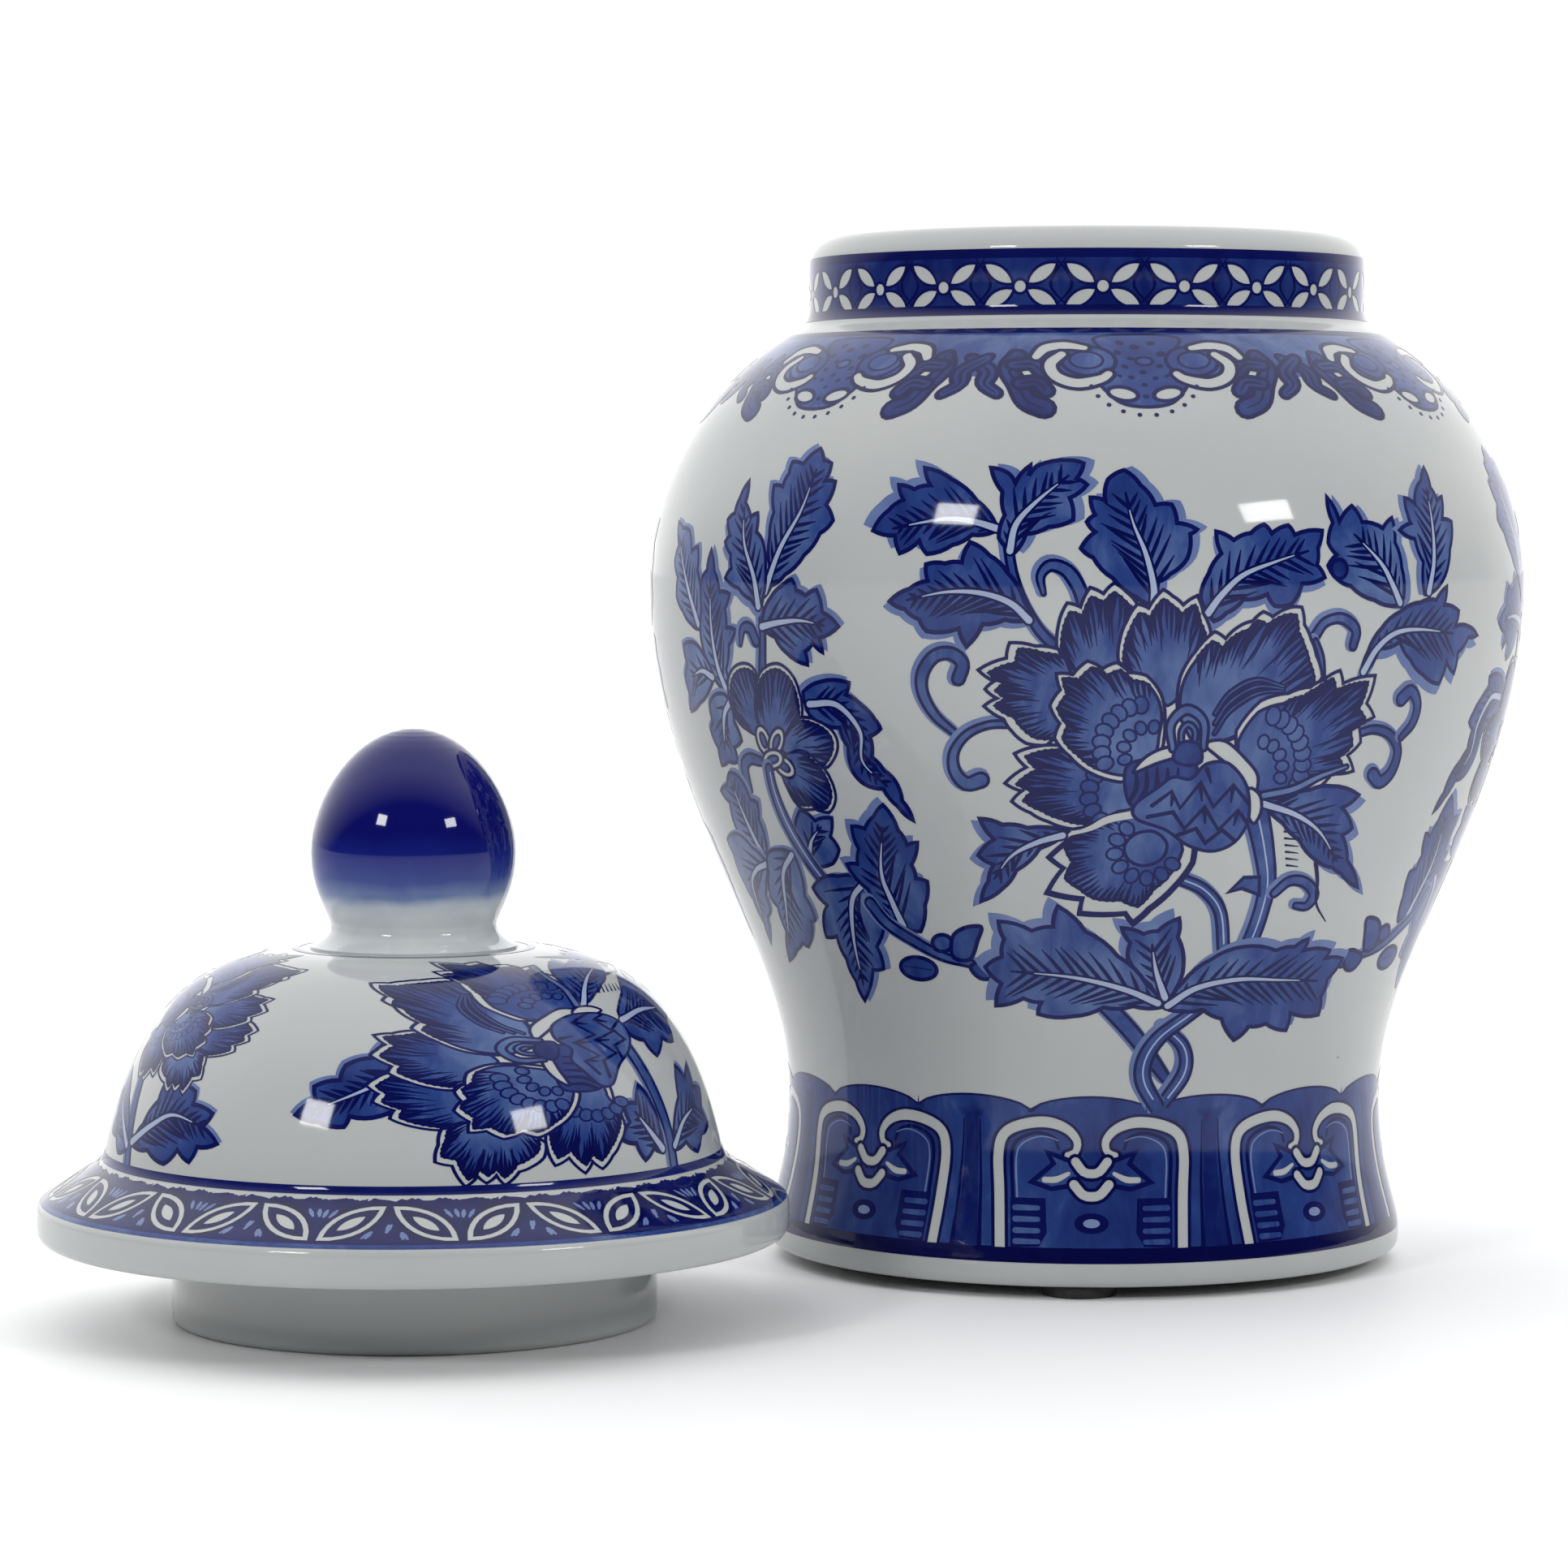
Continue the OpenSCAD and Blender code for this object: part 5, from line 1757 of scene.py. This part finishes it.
@dataclass
class Studio:
    """Camera, tabletop and soft light."""

    place: tuple[float, float, float] = (-0.0637, -1.079, 0.1623)
    pitch: float = 3.306
    lens: float = 116.9
    floor: float = 12.0

    def build(self) -> None:
        """Set the camera, the tabletop, the sky and the lamps."""
        camera = bpy.data.cameras.new("camera")
        camera.lens = self.lens
        camera.sensor_width = 36
        camera.clip_end = 60
        seat = bpy.data.objects.new("camera", camera)
        seat.location = self.place
        seat.rotation_euler = (math.radians(90 - self.pitch), 0, 0)
        bpy.context.scene.collection.objects.link(seat)
        bpy.context.scene.camera = seat

        mesh = bpy.data.meshes.new("tabletop")
        half = self.floor
        mesh.from_pydata([(-half, -half, 0), (half, -half, 0), (half, half, 0), (-half, half, 0)], [], [(0, 1, 2, 3)])
        mesh.materials.append(Tabletop().material())
        table = bpy.data.objects.new("tabletop", mesh)
        bpy.context.scene.collection.objects.link(table)

        self.sky()

        self.lamp("key_left", (-1.13, -1.42, 1.04), (0.36, 0.27), 8)
        self.lamp("key_right", (1.34, -1.26, 1.04), (0.46, 0.24), 8)
        bpy.context.scene.view_settings.view_transform = "Standard"

    @staticmethod
    def sky() -> None:
        """Light the room: white behind the object, dim on the near side so that the glaze keeps its depth."""
        world = bpy.data.worlds.new("studio")
        world.use_nodes = True
        nodes, links = world.node_tree.nodes, world.node_tree.links
        direction = nodes.new("ShaderNodeTexCoord")
        ramp = nodes.new("ShaderNodeValToRGB")
        share = nodes.new("ShaderNodeVectorMath")
        share.operation = "DOT_PRODUCT"
        share.inputs[1].default_value = (0.0, 0.62, 0.78)
        links.new(direction.outputs["Generated"], share.inputs[0])
        links.new(share.outputs["Value"], ramp.inputs["Fac"])
        near, far = ramp.color_ramp.elements
        near.position, near.color = 0.12, (0.035, 0.037, 0.040, 1)
        far.position, far.color = 0.60, (1.0, 1.0, 1.0, 1)
        links.new(ramp.outputs["Color"], nodes["Background"].inputs["Color"])
        nodes["Background"].inputs["Strength"].default_value = 1.55
        bpy.context.scene.world = world

    @staticmethod
    def lamp(name: str, place: tuple[float, float, float], size: Point, power: float) -> None:
        """Hang a soft rectangular lamp that faces the jar.

        Args:
            name: its name.
            place: where it hangs.
            size: width and height in metres.
            power: watts.
        """
        light = bpy.data.lights.new(name, "AREA")
        light.shape = "RECTANGLE"
        light.size, light.size_y = size
        light.energy = power
        lamp = bpy.data.objects.new(name, light)
        lamp.location = place
        lamp.rotation_euler = (Vector((-0.03, 0.0, 0.11)) - Vector(place)).to_track_quat("-Z", "Y").to_euler()
        bpy.context.scene.collection.objects.link(lamp)


def corners(box: Iterable[Vector]) -> list[list[float]]:
    """A box's two corners as plain lists."""
    return [list(map(float, corner)) for corner in box]


def main() -> None:
    """Build everything in order."""
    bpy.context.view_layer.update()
    Studio().build()
    palette = Palette(
        Pigment("pale_wash", (0.38, 0.44, 0.58), (0.24, 0.31, 0.50), (0.080, 0.125, 0.31), 0.18).material(),
        Pigment("cobalt_wash", (0.108, 0.172, 0.350), (0.021, 0.050, 0.210), (0.004, 0.010, 0.105), 0.46).material(),
        Pigment("cobalt_line", (0.010, 0.020, 0.160), (0.003, 0.006, 0.090), (0.001, 0.002, 0.055), 0.3).material())
    glaze = ClearGlaze().material()
    Jar(palette, glaze).build()
    Lid(palette, glaze, BiscuitAndShade().material()).build()
    Pads(PadRubber().material()).build()


if __name__ == "__main__":
    main()
